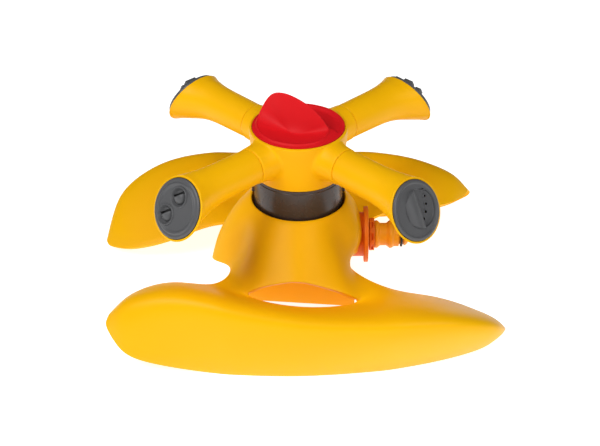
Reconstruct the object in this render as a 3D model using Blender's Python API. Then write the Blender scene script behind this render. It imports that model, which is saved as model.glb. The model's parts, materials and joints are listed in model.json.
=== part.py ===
"""A four-armed rotary lawn sprinkler with eight spray patterns, on a swept sledge base.

Everything is in metres, +Z up. The rotor turns about the Z axis, the hose inlet lies along +X,
and the origin is on the ground under the rotor's axis.
"""
import math

import bmesh
import bpy
from mathutils import Matrix, Vector

# Clearances
FACE_GAP = 0.0003            # between faces that touch
RUNNING_GAP = 0.0004         # round turning pieces
TINY = 0.000001

# Base shell, a moulded sheet
SHELL_WALL = 0.0028
TIP_WALL = 0.0010            # the sheet thins out to this at the wing tips
MOUTH_RADIUS = 0.0339        # bore that the collar turns in
MOUTH_HEIGHT = 0.0810        # top of the rim round the collar
RIM_WIDTH = 0.0022
CUP_DEPTH = 0.0150
CUP_FLOOR = MOUTH_HEIGHT - CUP_DEPTH    # top of the floor under the collar
CUP_CORNER = 0.0040
TURRET_COLUMNS = 24
VALLEY_DEPTH = 0.0055        # hollows between the turret's front and its flanks
VALLEY_COLUMN = 2.6          # where the left one lies; its partner is a half turn away
VALLEY_SPREAD = 1.3
VALLEY_RIGHT_COLUMN = 9.4
VALLEY_RIGHT_SHARE = 0.5
# Where along the wing curves the loft sections sit, closer at the tips and the legs
WING_PLACES = (0, 0.5, 1, 2, 3.0, 3.35, 3.7, 5, 6.3, 6.65, 7, 8, 9, 9.5, 10)

# Wing curves, front wing from its raised left end to its low right tip; the rear wing is
# the same turned half round. Inner edge, crest and foot of the wing's section.
WING_INNER = ((-0.1275, -0.0770, 0.0340), (-0.1110, -0.0560, 0.0390), (-0.0860, -0.0465, 0.0405),
              (-0.0565, -0.0510, 0.0350), (-0.0350, -0.0670, 0.0370), (0.0040, -0.0710, 0.0305),
              (0.0420, -0.0680, 0.0310), (0.0640, -0.0480, 0.0305), (0.0950, -0.0355, 0.0200),
              (0.1240, -0.0385, 0.0108), (0.1450, -0.0525, 0.0040))
WING_CREST = ((-0.1300, -0.0830, 0.0360), (-0.1155, -0.0905, 0.0535), (-0.0875, -0.0985, 0.0650),
              (-0.0590, -0.1080, 0.0650), (-0.0370, -0.1140, 0.0605), (0.0040, -0.1205, 0.0555),
              (0.0460, -0.1225, 0.0555), (0.0720, -0.1220, 0.0575), (0.1060, -0.1165, 0.0555),
              (0.1360, -0.0980, 0.0390), (0.1462, -0.0590, 0.0072))
WING_FOOT = ((-0.1325, -0.0880, 0.0290), (-0.1160, -0.1020, 0.0115), (-0.0850, -0.1010, 0.0030),
             (-0.0590, -0.1025, 0.0000), (-0.0370, -0.1055, 0.0000), (0.0040, -0.1075, 0.0000),
             (0.0460, -0.1020, 0.0000), (0.0690, -0.0975, 0.0000), (0.0990, -0.0895, 0.0005),
             (0.1295, -0.0775, 0.0020), (0.1455, -0.0565, 0.0030))
SHEET_CROWN = 0.0025         # bulge of the sheet between inner edge and crest
WALL_BULGE = 0.0040          # bulge of the outer wall between crest and foot

# Skirt edge under the turret, half round from the closed side across the front
SKIRT_EDGE = ((-0.0670, 0.0000, 0.0285), (-0.0445, -0.0240, 0.0355), (-0.0460, -0.0440, 0.0385),
              (-0.0290, -0.0640, 0.0450), (0.0000, -0.0670, 0.0530), (0.0290, -0.0660, 0.0425),
              (0.0375, -0.0470, 0.0405), (0.0275, -0.0290, 0.0415))
INLET_SIDE_REACH = 0.0470    # how far the turret's open side comes out
INLET_SIDE_EDGE = 0.0430     # height of its lower edge
LEG_JOINS = ((2, 4), (8, 8))    # skirt column and wing section that each leg joins

# Inlet, along +X
INLET_BELOW_FLOOR = 0.0178
INLET_HEIGHT = CUP_FLOOR - INLET_BELOW_FLOOR
FLANGE_FACE = 0.0501
FLANGE_RADIUS = 0.0202
FLANGE_WALL = 0.0030
SPIGOT_RADIUS = 0.0160
SPIGOT_DEPTH = 0.0130        # reach of the flange's spigot into the turret
NUT_RADIUS = 0.0118
NUT_LENGTH = 0.0036
NUT_SLOTS = 8
TAIL_RADIUS = 0.0088
TAIL_RIDGE_RADIUS = 0.0101
TAIL_RIDGE_PLACE = 0.0664
TAIL_TIP = 0.0789
TAIL_BORE = 0.0050
SEAL_PLACE = 0.0742
SEAL_RADIUS = 0.0092
SEAL_THICKNESS = 0.0030
PIPE_RADIUS = 0.0085
PIPE_BORE = 0.0055

# Cover over the water pipe, under the turret
COVER_HALF_WIDTH = 0.0270
COVER_TOP_HALF_LENGTH = 0.0215
COVER_FOOT_HALF_LENGTH = 0.0410
COVER_REAR_TOP_HALF_LENGTH = 0.0215
COVER_REAR_FOOT_HALF_LENGTH = 0.0285
COVER_SHOULDER_HEIGHT = 0.0260
COVER_FOOT_HEIGHT = 0.0060
COVER_WALL = 0.0022
COVER_TURN = math.radians(-6.0)

# Spindle and bearing
SPINDLE_RADIUS = 0.0070
SPINDLE_BORE = 0.0045
SPINDLE_FLANGE_RADIUS = 0.0200
SPINDLE_FLANGE_WALL = 0.0030
SCREW_CIRCLE = 0.0145
SCREW_COUNT = 4
SCREW_RADIUS = 0.0016
SCREW_HEAD_RADIUS = 0.0030
SCREW_HEAD_HEIGHT = 0.0020
WASHER_THICKNESS = 0.0012
WASHER_RADIUS = 0.0130
BUSH_RADIUS = 0.0100
BUSH_FLANGE_WALL = 0.0014
BUSH_BELOW_HUB = 0.0064
SEAL_RING_HEIGHT = 0.0030
CLIP_THICKNESS = 0.0010

# Collar
COLLAR_RADIUS = 0.0314
COLLAR_WALL = 0.0024
COLLAR_SPIGOT_HEIGHT = 0.0050
COLLAR_HUB_RADIUS = 0.0132
COLLAR_SHOWN = 0.0214        # from the turret's rim up to the hub
LUG_ABOVE_RIM = 0.0055
LUG_HEIGHT = MOUTH_HEIGHT + LUG_ABOVE_RIM

# Rotor hub and arms
HEAD_TURN = math.radians(-0.8)
HUB_FOOT_HEIGHT = MOUTH_HEIGHT + COLLAR_SHOWN
BUSH_TOP = HUB_FOOT_HEIGHT - BUSH_BELOW_HUB
HUB_FOOT_RADIUS = 0.0319
ARM_ABOVE_FOOT = 0.0204      # the arms' axis above the hub's foot
ARM_HEIGHT = HUB_FOOT_HEIGHT + ARM_ABOVE_FOOT
TOP_ABOVE_ARM = 0.0144
HUB_TOP_HEIGHT = ARM_HEIGHT + TOP_ABOVE_ARM
KNOB_RADIUS = 0.0322
KNOB_BORDER = 0.0022         # hub left showing round the knob
HUB_TOP_RADIUS = KNOB_RADIUS + KNOB_BORDER
HUB_WALL = 0.0026
ARM_COUNT = 4
ARM_SIDES = 20               # flats round an arm and the cap in its mouth
STUB_ROOT_RADIUS = 0.0140
STUB_RADIUS = 0.0132
STUB_END = 0.0430
ARM_RADIUS = 0.0127
ARM_BORE = 0.0100
ARM_REACH = 0.1120
ARM_DROP = 0.0051            # how far the mouth sits below the root
ARM_TILT = math.radians(27.0)
BELL_RADIUS = 0.0222
BELL_RIM_DEPTH = 0.0024      # straight band behind the mouth
# Share of the length, drop, flare and tilt reached at each ring of an arm
ARM_FLARE = ((0.00, 0.00, 0.00, 0.00), (0.48, 0.02, 0.05, 0.00), (0.62, 0.11, 0.16, 0.15),
             (0.74, 0.36, 0.39, 0.41), (0.86, 0.74, 0.71, 0.74))
# Steps inside the mouth: the cap's seat, and a smaller one for its seal ring
CAP_SEAT_DEPTH = 0.0019
RING_BORE = 0.0172
RING_SEAT_DEPTH = 0.0038
RING_SEAT_BORE = 0.0132

# Nozzle caps
CAP_RADIUS = 0.0205
CAP_SPIGOT_RADIUS = 0.0086
CAP_SPIGOT_LENGTH = 0.0050
CAP_RING_THICKNESS = 0.0011
# Two slots with scooped hoods on one cap, places of their middles
TWIN_PLACES = ((0.0052, 0.0052), (-0.0058, -0.0048))
TWIN_TURN = math.radians(22.0)
TWIN_LENGTH = 0.0085
TWIN_WIDTH = 0.0020
# Blocks that shape the spray on two caps: place across and up, width, depth and height
CASTLE_BLOCKS = ((-0.0082, 0.0092, 0.0050, 0.0050, 0.0046), (-0.0012, 0.0118, 0.0050, 0.0050, 0.0056),
                 (0.0062, 0.0104, 0.0052, 0.0050, 0.0046), (0.0000, 0.0030, 0.0170, 0.0050, 0.0028))
STEPPED_BLOCKS = ((0.0000, 0.0090, 0.0150, 0.0070, 0.0048), (0.0010, 0.0100, 0.0080, 0.0046, 0.0076))
SHOWER_START = math.radians(-62.0)
SHOWER_SPREAD = math.radians(124.0)
SHOWER_HOLES = 7
SHOWER_HOLE_RADIUS = 0.0009
SHOWER_CIRCLE = 0.0088

# Distributor inside the hub
DRUM_RADIUS = 0.0262
DRUM_BELOW_ARM = 0.0133
DRUM_ABOVE_ARM = 0.0057
DRUM_BASE = ARM_HEIGHT - DRUM_BELOW_ARM
DRUM_TOP = ARM_HEIGHT + DRUM_ABOVE_ARM
PORT_RADIUS = 0.0032
PORT_CIRCLE = 0.0150

# Selector knob
KNOB_ABOVE_HUB = 0.0008
KNOB_HEIGHT = HUB_TOP_HEIGHT + KNOB_ABOVE_HUB
KNOB_THICKNESS = 0.0028
BLADE_HEIGHT = 0.0238
# Blade's crest along the disc, as shares of the knob's radius and of the blade's height
BLADE_CREST = ((-1.00, 0.04), (-0.93, 0.14), (-0.84, 0.34), (-0.76, 0.60), (-0.68, 0.82), (-0.58, 0.96),
               (-0.45, 1.00), (-0.28, 0.97), (-0.05, 0.84), (0.15, 0.67), (0.32, 0.51), (0.50, 0.33),
               (0.66, 0.18), (0.80, 0.06), (0.92, 0.00))
BLADE_HALF_THICKNESS = 0.0012
BLADE_BACK_PLACE = 0.13      # where the crest stands at its left end, as a share of the radius
BLADE_FRONT_PLACE = -0.20    # and where it runs out at the right
BLADE_FRONT = 0.72           # reach of the front and back scoops, as shares of the radius
BLADE_BACK = 0.42
BLADE_HOLLOW = 2.6
SCOOP_DEPTH = 0.0018
# Lines of the knob's grid across the blade, closest at the crest
KNOB_LINES = (-1.0, -0.86, -0.66, -0.46, -0.30, -0.18, -0.09, -0.03, 0.03, 0.10, 0.20, 0.34, 0.58, 0.82,
              1.0)
KNOB_STEPS = 16
BLADE_TURN = math.radians(-13.0)
STEM_RADIUS = 0.0060
DISC_THICKNESS = 0.0022
SEAT_BORDER = 0.0050         # drum left showing round the valve seat
DISC_BORDER = 0.0056


def make_material(name, colour, roughness, metallic=0.0):
    """A Principled material in one colour."""
    material = bpy.data.materials.new(name)
    material.use_nodes = True
    shader = material.node_tree.nodes["Principled BSDF"]
    shader.inputs["Base Color"].default_value = (*colour, 1.0)
    shader.inputs["Roughness"].default_value = roughness
    shader.inputs["Metallic"].default_value = metallic
    return material


def make_empty(name, location=(0, 0, 0), turn=0.0, parent=None):
    """An axis that moving pieces hang on."""
    empty = bpy.data.objects.new(name, None)
    empty.location = location
    empty.rotation_euler = (0, 0, turn)
    empty.parent = parent
    bpy.context.collection.objects.link(empty)
    return empty


def add_object(name, mesh, material, parent=None, location=(0, 0, 0), rotation=(0, 0, 0), sharp=40):
    """Links a mesh as one named piece, shaded smooth with its sharp edges kept."""
    if mesh.materials:
        mesh.materials.clear()
    mesh.materials.append(material)
    mesh.shade_smooth()
    mesh.set_sharp_from_angle(angle=math.radians(sharp))
    piece = bpy.data.objects.new(name, mesh)
    piece.parent = parent
    piece.location = location
    piece.rotation_euler = rotation
    bpy.context.collection.objects.link(piece)
    return piece


def mesh_from(bm, name):
    """Turns a bmesh into mesh data with its faces pointing out."""
    bmesh.ops.recalc_face_normals(bm, faces=bm.faces)
    mesh = bpy.data.meshes.new(name)
    bm.to_mesh(mesh)
    bm.free()
    return mesh


def turned_mesh(name, profile, steps=32):
    """A closed profile of (radius, height) points, spun about Z."""
    bm = bmesh.new()
    verts = [bm.verts.new((radius, 0, height)) for radius, height in profile]
    edges = [bm.edges.new((verts[i], verts[(i + 1) % len(verts)])) for i in range(len(verts))
             if profile[i][0] > 0 or profile[(i + 1) % len(verts)][0] > 0]
    bmesh.ops.spin(bm, geom=verts + edges, axis=(0, 0, 1), cent=(0, 0, 0),
                   steps=steps, angle=math.tau)
    bmesh.ops.remove_doubles(bm, verts=bm.verts, dist=TINY)
    return mesh_from(bm, name)


def loft_mesh(name, rings, closed_loop=False):
    """Skins a row of equal rings; the ends are capped unless the row closes on itself."""
    bm = bmesh.new()
    rows = [[bm.verts.new(point) for point in ring] for ring in rings]
    pairs = list(zip(rows, rows[1:]))
    if closed_loop:
        pairs.append((rows[-1], rows[0]))
    else:
        bm.faces.new(rows[0])
        bm.faces.new(rows[-1])
    for low, high in pairs:
        for i in range(len(low)):
            j = (i + 1) % len(low)
            bm.faces.new((low[i], low[j], high[j], high[i]))
    return mesh_from(bm, name)


def torus_mesh(name, radius, half_thickness, steps=32, section=6):
    """A ring of round section about Z."""
    profile = [(radius + half_thickness * math.cos(math.tau * i / section),
                half_thickness * math.sin(math.tau * i / section)) for i in range(section)]
    return turned_mesh(name, profile, steps)


def cylinder_mesh(name, radius, bottom, top, steps=24):
    """A plain round bar about Z."""
    return turned_mesh(name, [(0, bottom), (radius, bottom), (radius, top), (0, top)], steps)


def make_cutter(name, mesh, parent=None, location=(0, 0, 0), rotation=(0, 0, 0)):
    """A hidden guide for a Boolean."""
    cutter = bpy.data.objects.new(name, mesh)
    cutter.parent = parent
    cutter.location = location
    cutter.rotation_euler = rotation
    cutter.hide_render = True
    cutter.display_type = 'WIRE'
    bpy.context.collection.objects.link(cutter)
    return cutter


def boolean(piece, tool, operation='DIFFERENCE'):
    """Cuts a piece with a hidden tool, or joins the tool's shape to it."""
    modifier = piece.modifiers.new(tool.name, 'BOOLEAN')
    modifier.operation = operation
    modifier.solver = 'EXACT'
    modifier.object = tool


def curve_through(points, places):
    """Points on a Catmull-Rom curve through the given points, at places counted in spans."""
    points = [Vector(p) for p in points]
    first = points[0] * 2 - points[1]
    last = points[-1] * 2 - points[-2]
    chain = [first] + points + [last]
    found = []
    for place in places:
        span = min(int(place), len(points) - 2)
        t = place - span
        a, b, c, d = chain[span:span + 4]
        found.append(0.5 * (2 * b + (c - a) * t + (2 * a - 5 * b + 4 * c - d) * t ** 2
                            + (3 * b - a - 3 * c + d) * t ** 3))
    return found


def half_turn(point):
    """The same place on the rear half of the base."""
    return Vector((-point.x, -point.y, point.z))


def turret_rows():
    """Rings of points from the floor of the cup over the rim and down to the skirt edge."""
    half = TURRET_COLUMNS // 2
    skirt = skirt_points(half)
    rim_outer = MOUTH_RADIUS + RIM_WIDTH
    rows = []
    for radius, height in ((SPINDLE_RADIUS * 0.8, CUP_FLOOR), (MOUTH_RADIUS - CUP_CORNER, CUP_FLOOR),
                           (MOUTH_RADIUS, CUP_FLOOR + CUP_CORNER), (MOUTH_RADIUS, MOUTH_HEIGHT - 0.0012),
                           (rim_outer - 0.0008, MOUTH_HEIGHT)):
        rows.append([polar(radius, column, height) for column in range(TURRET_COLUMNS)])
    shoulder, flank = [], []
    for column in range(TURRET_COLUMNS):
        angle = math.pi + math.tau * column / TURRET_COLUMNS
        side = math.cos(angle) ** 4
        front = math.sin(angle) ** 4
        edge = skirt[column]
        reach = MOUTH_RADIUS + 0.0100 + 0.0040 * side + 0.0015 * front
        shoulder.append(polar(reach, column, MOUTH_HEIGHT - 0.0105))
        out = Vector((edge.x, edge.y, 0)).length
        belly = 0.42 * reach + 0.58 * out + 0.0040 * side
        flank.append(polar(belly, column, 0.48 * (MOUTH_HEIGHT - 0.0105) + 0.52 * edge.z + 0.0010
                           - 0.0020 * front))
        valley = VALLEY_DEPTH * (hollow(column, VALLEY_COLUMN)
                                 + VALLEY_RIGHT_SHARE * hollow(column, VALLEY_RIGHT_COLUMN))
        shoulder[column] -= polar(0.45 * valley, column, 0)
        flank[column] -= polar(valley, column, 0)
    inlet_side = half
    for row in (shoulder, flank):
        for column in range(inlet_side - 2, inlet_side + 3):
            limit = INLET_SIDE_REACH - (0.0045 if row is shoulder else 0.0003)
            row[column].x = min(row[column].x, limit)
    rows += [shoulder, flank, skirt]
    return rows


def hollow(column, centre):
    """How deep a valley is at a column, from 0 to 1; it repeats a half turn away."""
    half = TURRET_COLUMNS / 2
    away = (column - centre + half / 2) % half - half / 2
    return math.exp(-(away / VALLEY_SPREAD) ** 2)


def polar(radius, column, height):
    """A point on a ring; column 0 is the closed side at -X, and columns run across the front."""
    angle = math.pi + math.tau * column / TURRET_COLUMNS
    return Vector((radius * math.cos(angle), radius * math.sin(angle), height))


def skirt_points(half):
    """The skirt edge all round, with the inlet side drawn in."""
    columns = (0, 2, 3, 4, 6, 8, 9, 10)
    known = {column: Vector(point) for column, point in zip(columns, SKIRT_EDGE)}
    known[half] = half_turn(known[0])
    ring = []
    for column in range(half):
        if column in known:
            ring.append(known[column])
        else:
            ring.append((known[column - 1] + known[column + 1]) / 2)
    ring[1] += Vector((-0.0020, 0, 0))
    ring += [half_turn(point) for point in ring]
    for column in (half - 1, half, half + 1):
        ring[column].x = min(ring[column].x, INLET_SIDE_REACH - 0.0010)
        ring[column].z = INLET_SIDE_EDGE
    return ring


def base_shell(material):
    """The sledge base: turret, four legs and two swept wings in one sheet, then thickened."""
    bm = bmesh.new()
    weight = bm.verts.layers.deform.verify()
    rows = [[bm.verts.new(point) for point in row] for row in turret_rows()]
    thin = [(vert, 0.3 * RIM_WIDTH / SHELL_WALL) for row in rows[3:5] for vert in row]
    for low, high in zip(rows, rows[1:]):
        for i in range(TURRET_COLUMNS):
            j = (i + 1) % TURRET_COLUMNS
            bm.faces.new((low[i], high[i], high[j], low[j]))
    skirt = rows[-1]
    inner = curve_through(WING_INNER, WING_PLACES)
    crest = curve_through(WING_CREST, WING_PLACES)
    foot = curve_through(WING_FOOT, WING_PLACES)
    half = TURRET_COLUMNS // 2
    for side in (0, 1):
        wing = []
        for a, b, c in zip(inner, crest, foot):
            taper = min(1.0, (a - b).length / 0.03)
            sheet = a.lerp(b, 0.5) + Vector((0, 0, SHEET_CROWN * taper))
            out = Vector((b.x, b.y * 1.6, 0)).normalized()
            wall = b.lerp(c, 0.5) + out * WALL_BULGE * taper
            section = [a, sheet, b, wall, c]
            if side:
                section = [half_turn(point) for point in section]
            wing.append([bm.verts.new(point) for point in section])
        thin += [(vert, TIP_WALL / SHELL_WALL) for vert in wing[0] + wing[-1]]
        for left, right in zip(wing, wing[1:]):
            for i in range(len(left) - 1):
                bm.faces.new((left[i], left[i + 1], right[i + 1], right[i]))
        for column, station in LEG_JOINS:
            for i in range(2):
                near = skirt[(column + i + side * half) % TURRET_COLUMNS]
                far = skirt[(column + i + 1 + side * half) % TURRET_COLUMNS]
                bm.faces.new((near, wing[station + i][0], wing[station + i + 1][0], far))
    for vert in bm.verts:
        vert[weight][0] = 1.0
    for vert, share in thin:
        vert[weight][0] = share
    mesh = bpy.data.meshes.new("base_shell")
    bmesh.ops.recalc_face_normals(bm, faces=bm.faces)
    centre_face = min(bm.faces, key=lambda f: (f.calc_center_median() - Vector((0, 0, CUP_FLOOR))).length)
    if centre_face.normal.z < 0:
        bmesh.ops.reverse_faces(bm, faces=bm.faces)
    bm.to_mesh(mesh)
    bm.free()
    shell = add_object("base_shell", mesh, material, sharp=60)
    shell.vertex_groups.new(name="wall")
    smooth = shell.modifiers.new("Smooth", 'SUBSURF')
    smooth.levels = 1
    smooth.render_levels = 1
    wall = shell.modifiers.new("Wall", 'SOLIDIFY')
    wall.thickness = SHELL_WALL
    wall.offset = -1
    wall.use_even_offset = True
    wall.vertex_group = "wall"
    return shell


def clear_scene():
    """Removes whatever the file opened with."""
    for item in list(bpy.data.objects):
        bpy.data.objects.remove(item, do_unlink=True)


def screw_angles():
    """Directions of the four screws that hold the spindle and the elbow."""
    return [math.tau * (i + 0.5) / SCREW_COUNT for i in range(SCREW_COUNT)]


def flange_screws(material, seat, length):
    """Equal screws on a circle, heads down under the elbow's flange."""
    profile = [(0, seat - SCREW_HEAD_HEIGHT), (SCREW_HEAD_RADIUS, seat - SCREW_HEAD_HEIGHT),
               (SCREW_HEAD_RADIUS, seat), (SCREW_RADIUS, seat), (SCREW_RADIUS, seat + length),
               (0, seat + length)]
    mesh = turned_mesh("flange_screw", profile, 8)
    for number, angle in enumerate(screw_angles(), 1):
        place = (SCREW_CIRCLE * math.cos(angle), SCREW_CIRCLE * math.sin(angle), 0)
        add_object(f"flange_screw_{number}", mesh, material, None, place)


def screw_holes(name, radius, bottom, top):
    """A cutter for the four screws and nothing else."""
    bm = bmesh.new()
    for angle in screw_angles():
        place = Matrix.Translation((SCREW_CIRCLE * math.cos(angle), SCREW_CIRCLE * math.sin(angle),
                                    (bottom + top) / 2))
        bmesh.ops.create_cone(bm, cap_ends=True, segments=8, radius1=radius, radius2=radius,
                              depth=top - bottom, matrix=place)
    return make_cutter(name, mesh_from(bm, name))


def inlet_group(materials):
    """Flange, slotted nut, hose tail with its seal, and the elbow that leads to the spindle."""
    orange, tail_yellow, rubber, grey = materials
    along_x = (0, math.pi / 2, 0)
    at = (0, 0, INLET_HEIGHT)
    spigot_end = INLET_SIDE_REACH - SPIGOT_DEPTH
    flange_back = FLANGE_FACE - FLANGE_WALL
    nut_bore = TAIL_RADIUS - 0.0006
    flange = turned_mesh("inlet_flange", [
        (PIPE_RADIUS + FACE_GAP, spigot_end), (SPIGOT_RADIUS, spigot_end),
        (SPIGOT_RADIUS, flange_back), (FLANGE_RADIUS, flange_back), (FLANGE_RADIUS, FLANGE_FACE),
        (nut_bore + FACE_GAP, FLANGE_FACE), (nut_bore + FACE_GAP, flange_back),
        (PIPE_RADIUS + FACE_GAP, flange_back)], 24)
    add_object("inlet_flange", flange, orange, None, at, along_x)

    nut_start = FLANGE_FACE + 0.0010
    nut = add_object("inlet_nut", turned_mesh("inlet_nut", [
        (nut_bore + FACE_GAP, nut_start), (NUT_RADIUS, nut_start),
        (NUT_RADIUS, nut_start + NUT_LENGTH), (nut_bore + FACE_GAP, nut_start + NUT_LENGTH)], 24),
        orange, None, at, along_x)
    bm = bmesh.new()
    for i in range(NUT_SLOTS):
        angle = math.tau * (i + 0.5) / NUT_SLOTS
        place = Matrix.Rotation(angle, 4, 'Z') @ Matrix.Translation((NUT_RADIUS, 0,
                                                                     nut_start + NUT_LENGTH / 2))
        bmesh.ops.create_cube(bm, size=1, matrix=place @ Matrix.Diagonal(
            (0.0028, 0.0050, NUT_LENGTH * 0.45, 1)))
    boolean(nut, make_cutter("nut_slot_cutter", mesh_from(bm, "nut_slots"), None, at, along_x))

    groove = SEAL_RADIUS - SEAL_THICKNESS / 2 - 0.0004
    near = SEAL_PLACE - SEAL_THICKNESS / 2 - FACE_GAP
    far = SEAL_PLACE + SEAL_THICKNESS / 2 + FACE_GAP
    shelf = nut_start + NUT_LENGTH + FACE_GAP
    tail = turned_mesh("inlet_tail", [
        (TAIL_BORE, flange_back + FACE_GAP), (nut_bore, flange_back + FACE_GAP), (nut_bore, shelf),
        (TAIL_RADIUS + 0.0012, shelf), (TAIL_RADIUS + 0.0012, shelf + 0.0020),
        (TAIL_RADIUS - 0.0006, shelf + 0.0038), (TAIL_RADIUS - 0.0006, TAIL_RIDGE_PLACE - 0.0030),
        (TAIL_RIDGE_RADIUS, TAIL_RIDGE_PLACE - 0.0008), (TAIL_RIDGE_RADIUS, TAIL_RIDGE_PLACE + 0.0008),
        (TAIL_RADIUS, TAIL_RIDGE_PLACE + 0.0024), (TAIL_RADIUS, near), (groove, near), (groove, far),
        (TAIL_RADIUS - 0.0004, far), (TAIL_RADIUS - 0.0010, TAIL_TIP - 0.0014),
        (TAIL_RADIUS - 0.0024, TAIL_TIP), (TAIL_BORE, TAIL_TIP)], 16)
    add_object("inlet_tail", tail, tail_yellow, None, at, along_x)
    ring_section = (SEAL_RADIUS - groove - FACE_GAP) / 2
    seal = torus_mesh("inlet_seal", groove + FACE_GAP + ring_section, ring_section, 16)
    add_object("inlet_seal", seal, rubber, None, (SEAL_PLACE, 0, INLET_HEIGHT), along_x)

    elbow_top = CUP_FLOOR - SHELL_WALL - COVER_WALL - 2 * FACE_GAP
    bend = elbow_top - INLET_HEIGHT - 0.0030
    centres = [(flange_back - FACE_GAP, INLET_HEIGHT, 0.0)]
    for i in range(4):
        angle = math.pi / 2 * i / 3
        centres.append((bend * (1 - math.sin(angle)), INLET_HEIGHT + bend * (1 - math.cos(angle)),
                        angle))
    centres.append((0, elbow_top - 0.0028, math.pi / 2))

    def pipe_ring(x, z, angle, radius):
        across = Vector((-math.sin(-angle), 0, math.cos(angle)))
        ring = []
        for k in range(12):
            turn = math.tau * k / 12
            ring.append(Vector((x, 0, z)) + radius * (math.sin(turn) * Vector((0, 1, 0))
                                                      + math.cos(turn) * across))
        return ring
    outer = [pipe_ring(x, z, angle, PIPE_RADIUS) for x, z, angle in centres]
    flange_rings = [pipe_ring(0, z, math.pi / 2, radius) for z, radius in (
        (elbow_top - 0.0028, SPINDLE_FLANGE_RADIUS - 0.0010),
        (elbow_top, SPINDLE_FLANGE_RADIUS - 0.0010), (elbow_top, PIPE_BORE))]
    inner = [pipe_ring(x, z, angle, PIPE_BORE) for x, z, angle in reversed(centres)]
    elbow = add_object("water_elbow", loft_mesh("water_elbow", outer + flange_rings + inner, True), grey)
    holes = screw_holes("elbow_hole_cutter", SCREW_RADIUS + FACE_GAP, elbow_top - 0.0040,
                        elbow_top + 0.0010)
    boolean(elbow, holes)
    return elbow_top


def pipe_cover(material):
    """The arched cover over the water pipe: its long wall shows through the front arch."""
    top = CUP_FLOOR - SHELL_WALL - FACE_GAP

    def outline(foot, head):
        return [(-foot, COVER_FOOT_HEIGHT), (foot, COVER_FOOT_HEIGHT), (foot, COVER_SHOULDER_HEIGHT),
                (head, top), (-head, top), (-foot, COVER_SHOULDER_HEIGHT)]

    def hollow_outline(foot, head):
        shoulder = COVER_SHOULDER_HEIGHT - COVER_WALL * 0.4
        return [(-foot + COVER_WALL, -0.001), (foot - COVER_WALL, -0.001), (foot - COVER_WALL, shoulder),
                (head - COVER_WALL * 0.5, top - COVER_WALL), (-head + COVER_WALL * 0.5, top - COVER_WALL),
                (-foot + COVER_WALL, shoulder)]

    def prism(name, shape, half_width):
        front = shape(COVER_FOOT_HALF_LENGTH, COVER_TOP_HALF_LENGTH)
        rear = shape(COVER_REAR_FOOT_HALF_LENGTH, COVER_REAR_TOP_HALF_LENGTH)
        return loft_mesh(name, [[Vector((x, -half_width, z)) for x, z in front],
                                [Vector((x, half_width, z)) for x, z in rear]])
    cover = add_object("pipe_cover", prism("pipe_cover", outline, COVER_HALF_WIDTH), material,
                       None, (0, 0, 0), (0, 0, COVER_TURN), 30)
    boolean(cover, make_cutter("cover_hollow_cutter", prism("cover_hollow", hollow_outline,
                                                           COVER_HALF_WIDTH - COVER_WALL),
                               None, (0, 0, 0), (0, 0, COVER_TURN)))
    boolean(cover, make_cutter("cover_bore_cutter", cylinder_mesh(
        "cover_bore", SPINDLE_RADIUS, top - 0.006, top + 0.002, 20)))
    boolean(cover, screw_holes("cover_hole_cutter", SCREW_RADIUS + FACE_GAP, top - 0.006, top + 0.002))
    boolean(cover, make_cutter("cover_pipe_cutter", cylinder_mesh(
        "cover_pipe", SPIGOT_RADIUS + 0.0010, COVER_WALL + PIPE_RADIUS, FLANGE_FACE, 24),
        None, (0, 0, INLET_HEIGHT), (0, math.pi / 2, 0)))
    return cover


def bearing_group(materials, elbow_top):
    """Spindle, thrust washer, bush, lip seal and clip on the fixed side of the bearing."""
    grey, white, steel, rubber = materials
    flange_base = CUP_FLOOR + FACE_GAP
    flange_top = flange_base + SPINDLE_FLANGE_WALL
    clip_base = DRUM_BASE - 0.0050
    spindle = add_object("spindle", turned_mesh("spindle", [
        (SPINDLE_BORE, flange_base), (SPINDLE_FLANGE_RADIUS, flange_base),
        (SPINDLE_FLANGE_RADIUS, flange_top), (SPINDLE_RADIUS, flange_top),
        (SPINDLE_RADIUS, clip_base - FACE_GAP), (SPINDLE_RADIUS - 0.0008, clip_base - FACE_GAP),
        (SPINDLE_RADIUS - 0.0008, clip_base + CLIP_THICKNESS + FACE_GAP),
        (SPINDLE_RADIUS, clip_base + CLIP_THICKNESS + FACE_GAP),
        (SPINDLE_RADIUS, DRUM_BASE + 0.0060), (SPINDLE_BORE, DRUM_BASE + 0.0060)], 20), grey)
    boolean(spindle, screw_holes("spindle_hole_cutter", SCREW_RADIUS + FACE_GAP,
                                 flange_base - 0.001, flange_top - 0.0008))
    screw_seat = elbow_top - 0.0028 - FACE_GAP
    flange_screws(steel, screw_seat, flange_top - 0.0012 - screw_seat)
    washer_base = flange_top + FACE_GAP
    add_object("thrust_washer", turned_mesh("thrust_washer", [
        (SPINDLE_RADIUS + RUNNING_GAP, washer_base), (WASHER_RADIUS, washer_base),
        (WASHER_RADIUS, washer_base + WASHER_THICKNESS),
        (SPINDLE_RADIUS + RUNNING_GAP, washer_base + WASHER_THICKNESS)], 20), white)
    return washer_base + WASHER_THICKNESS, clip_base


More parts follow.
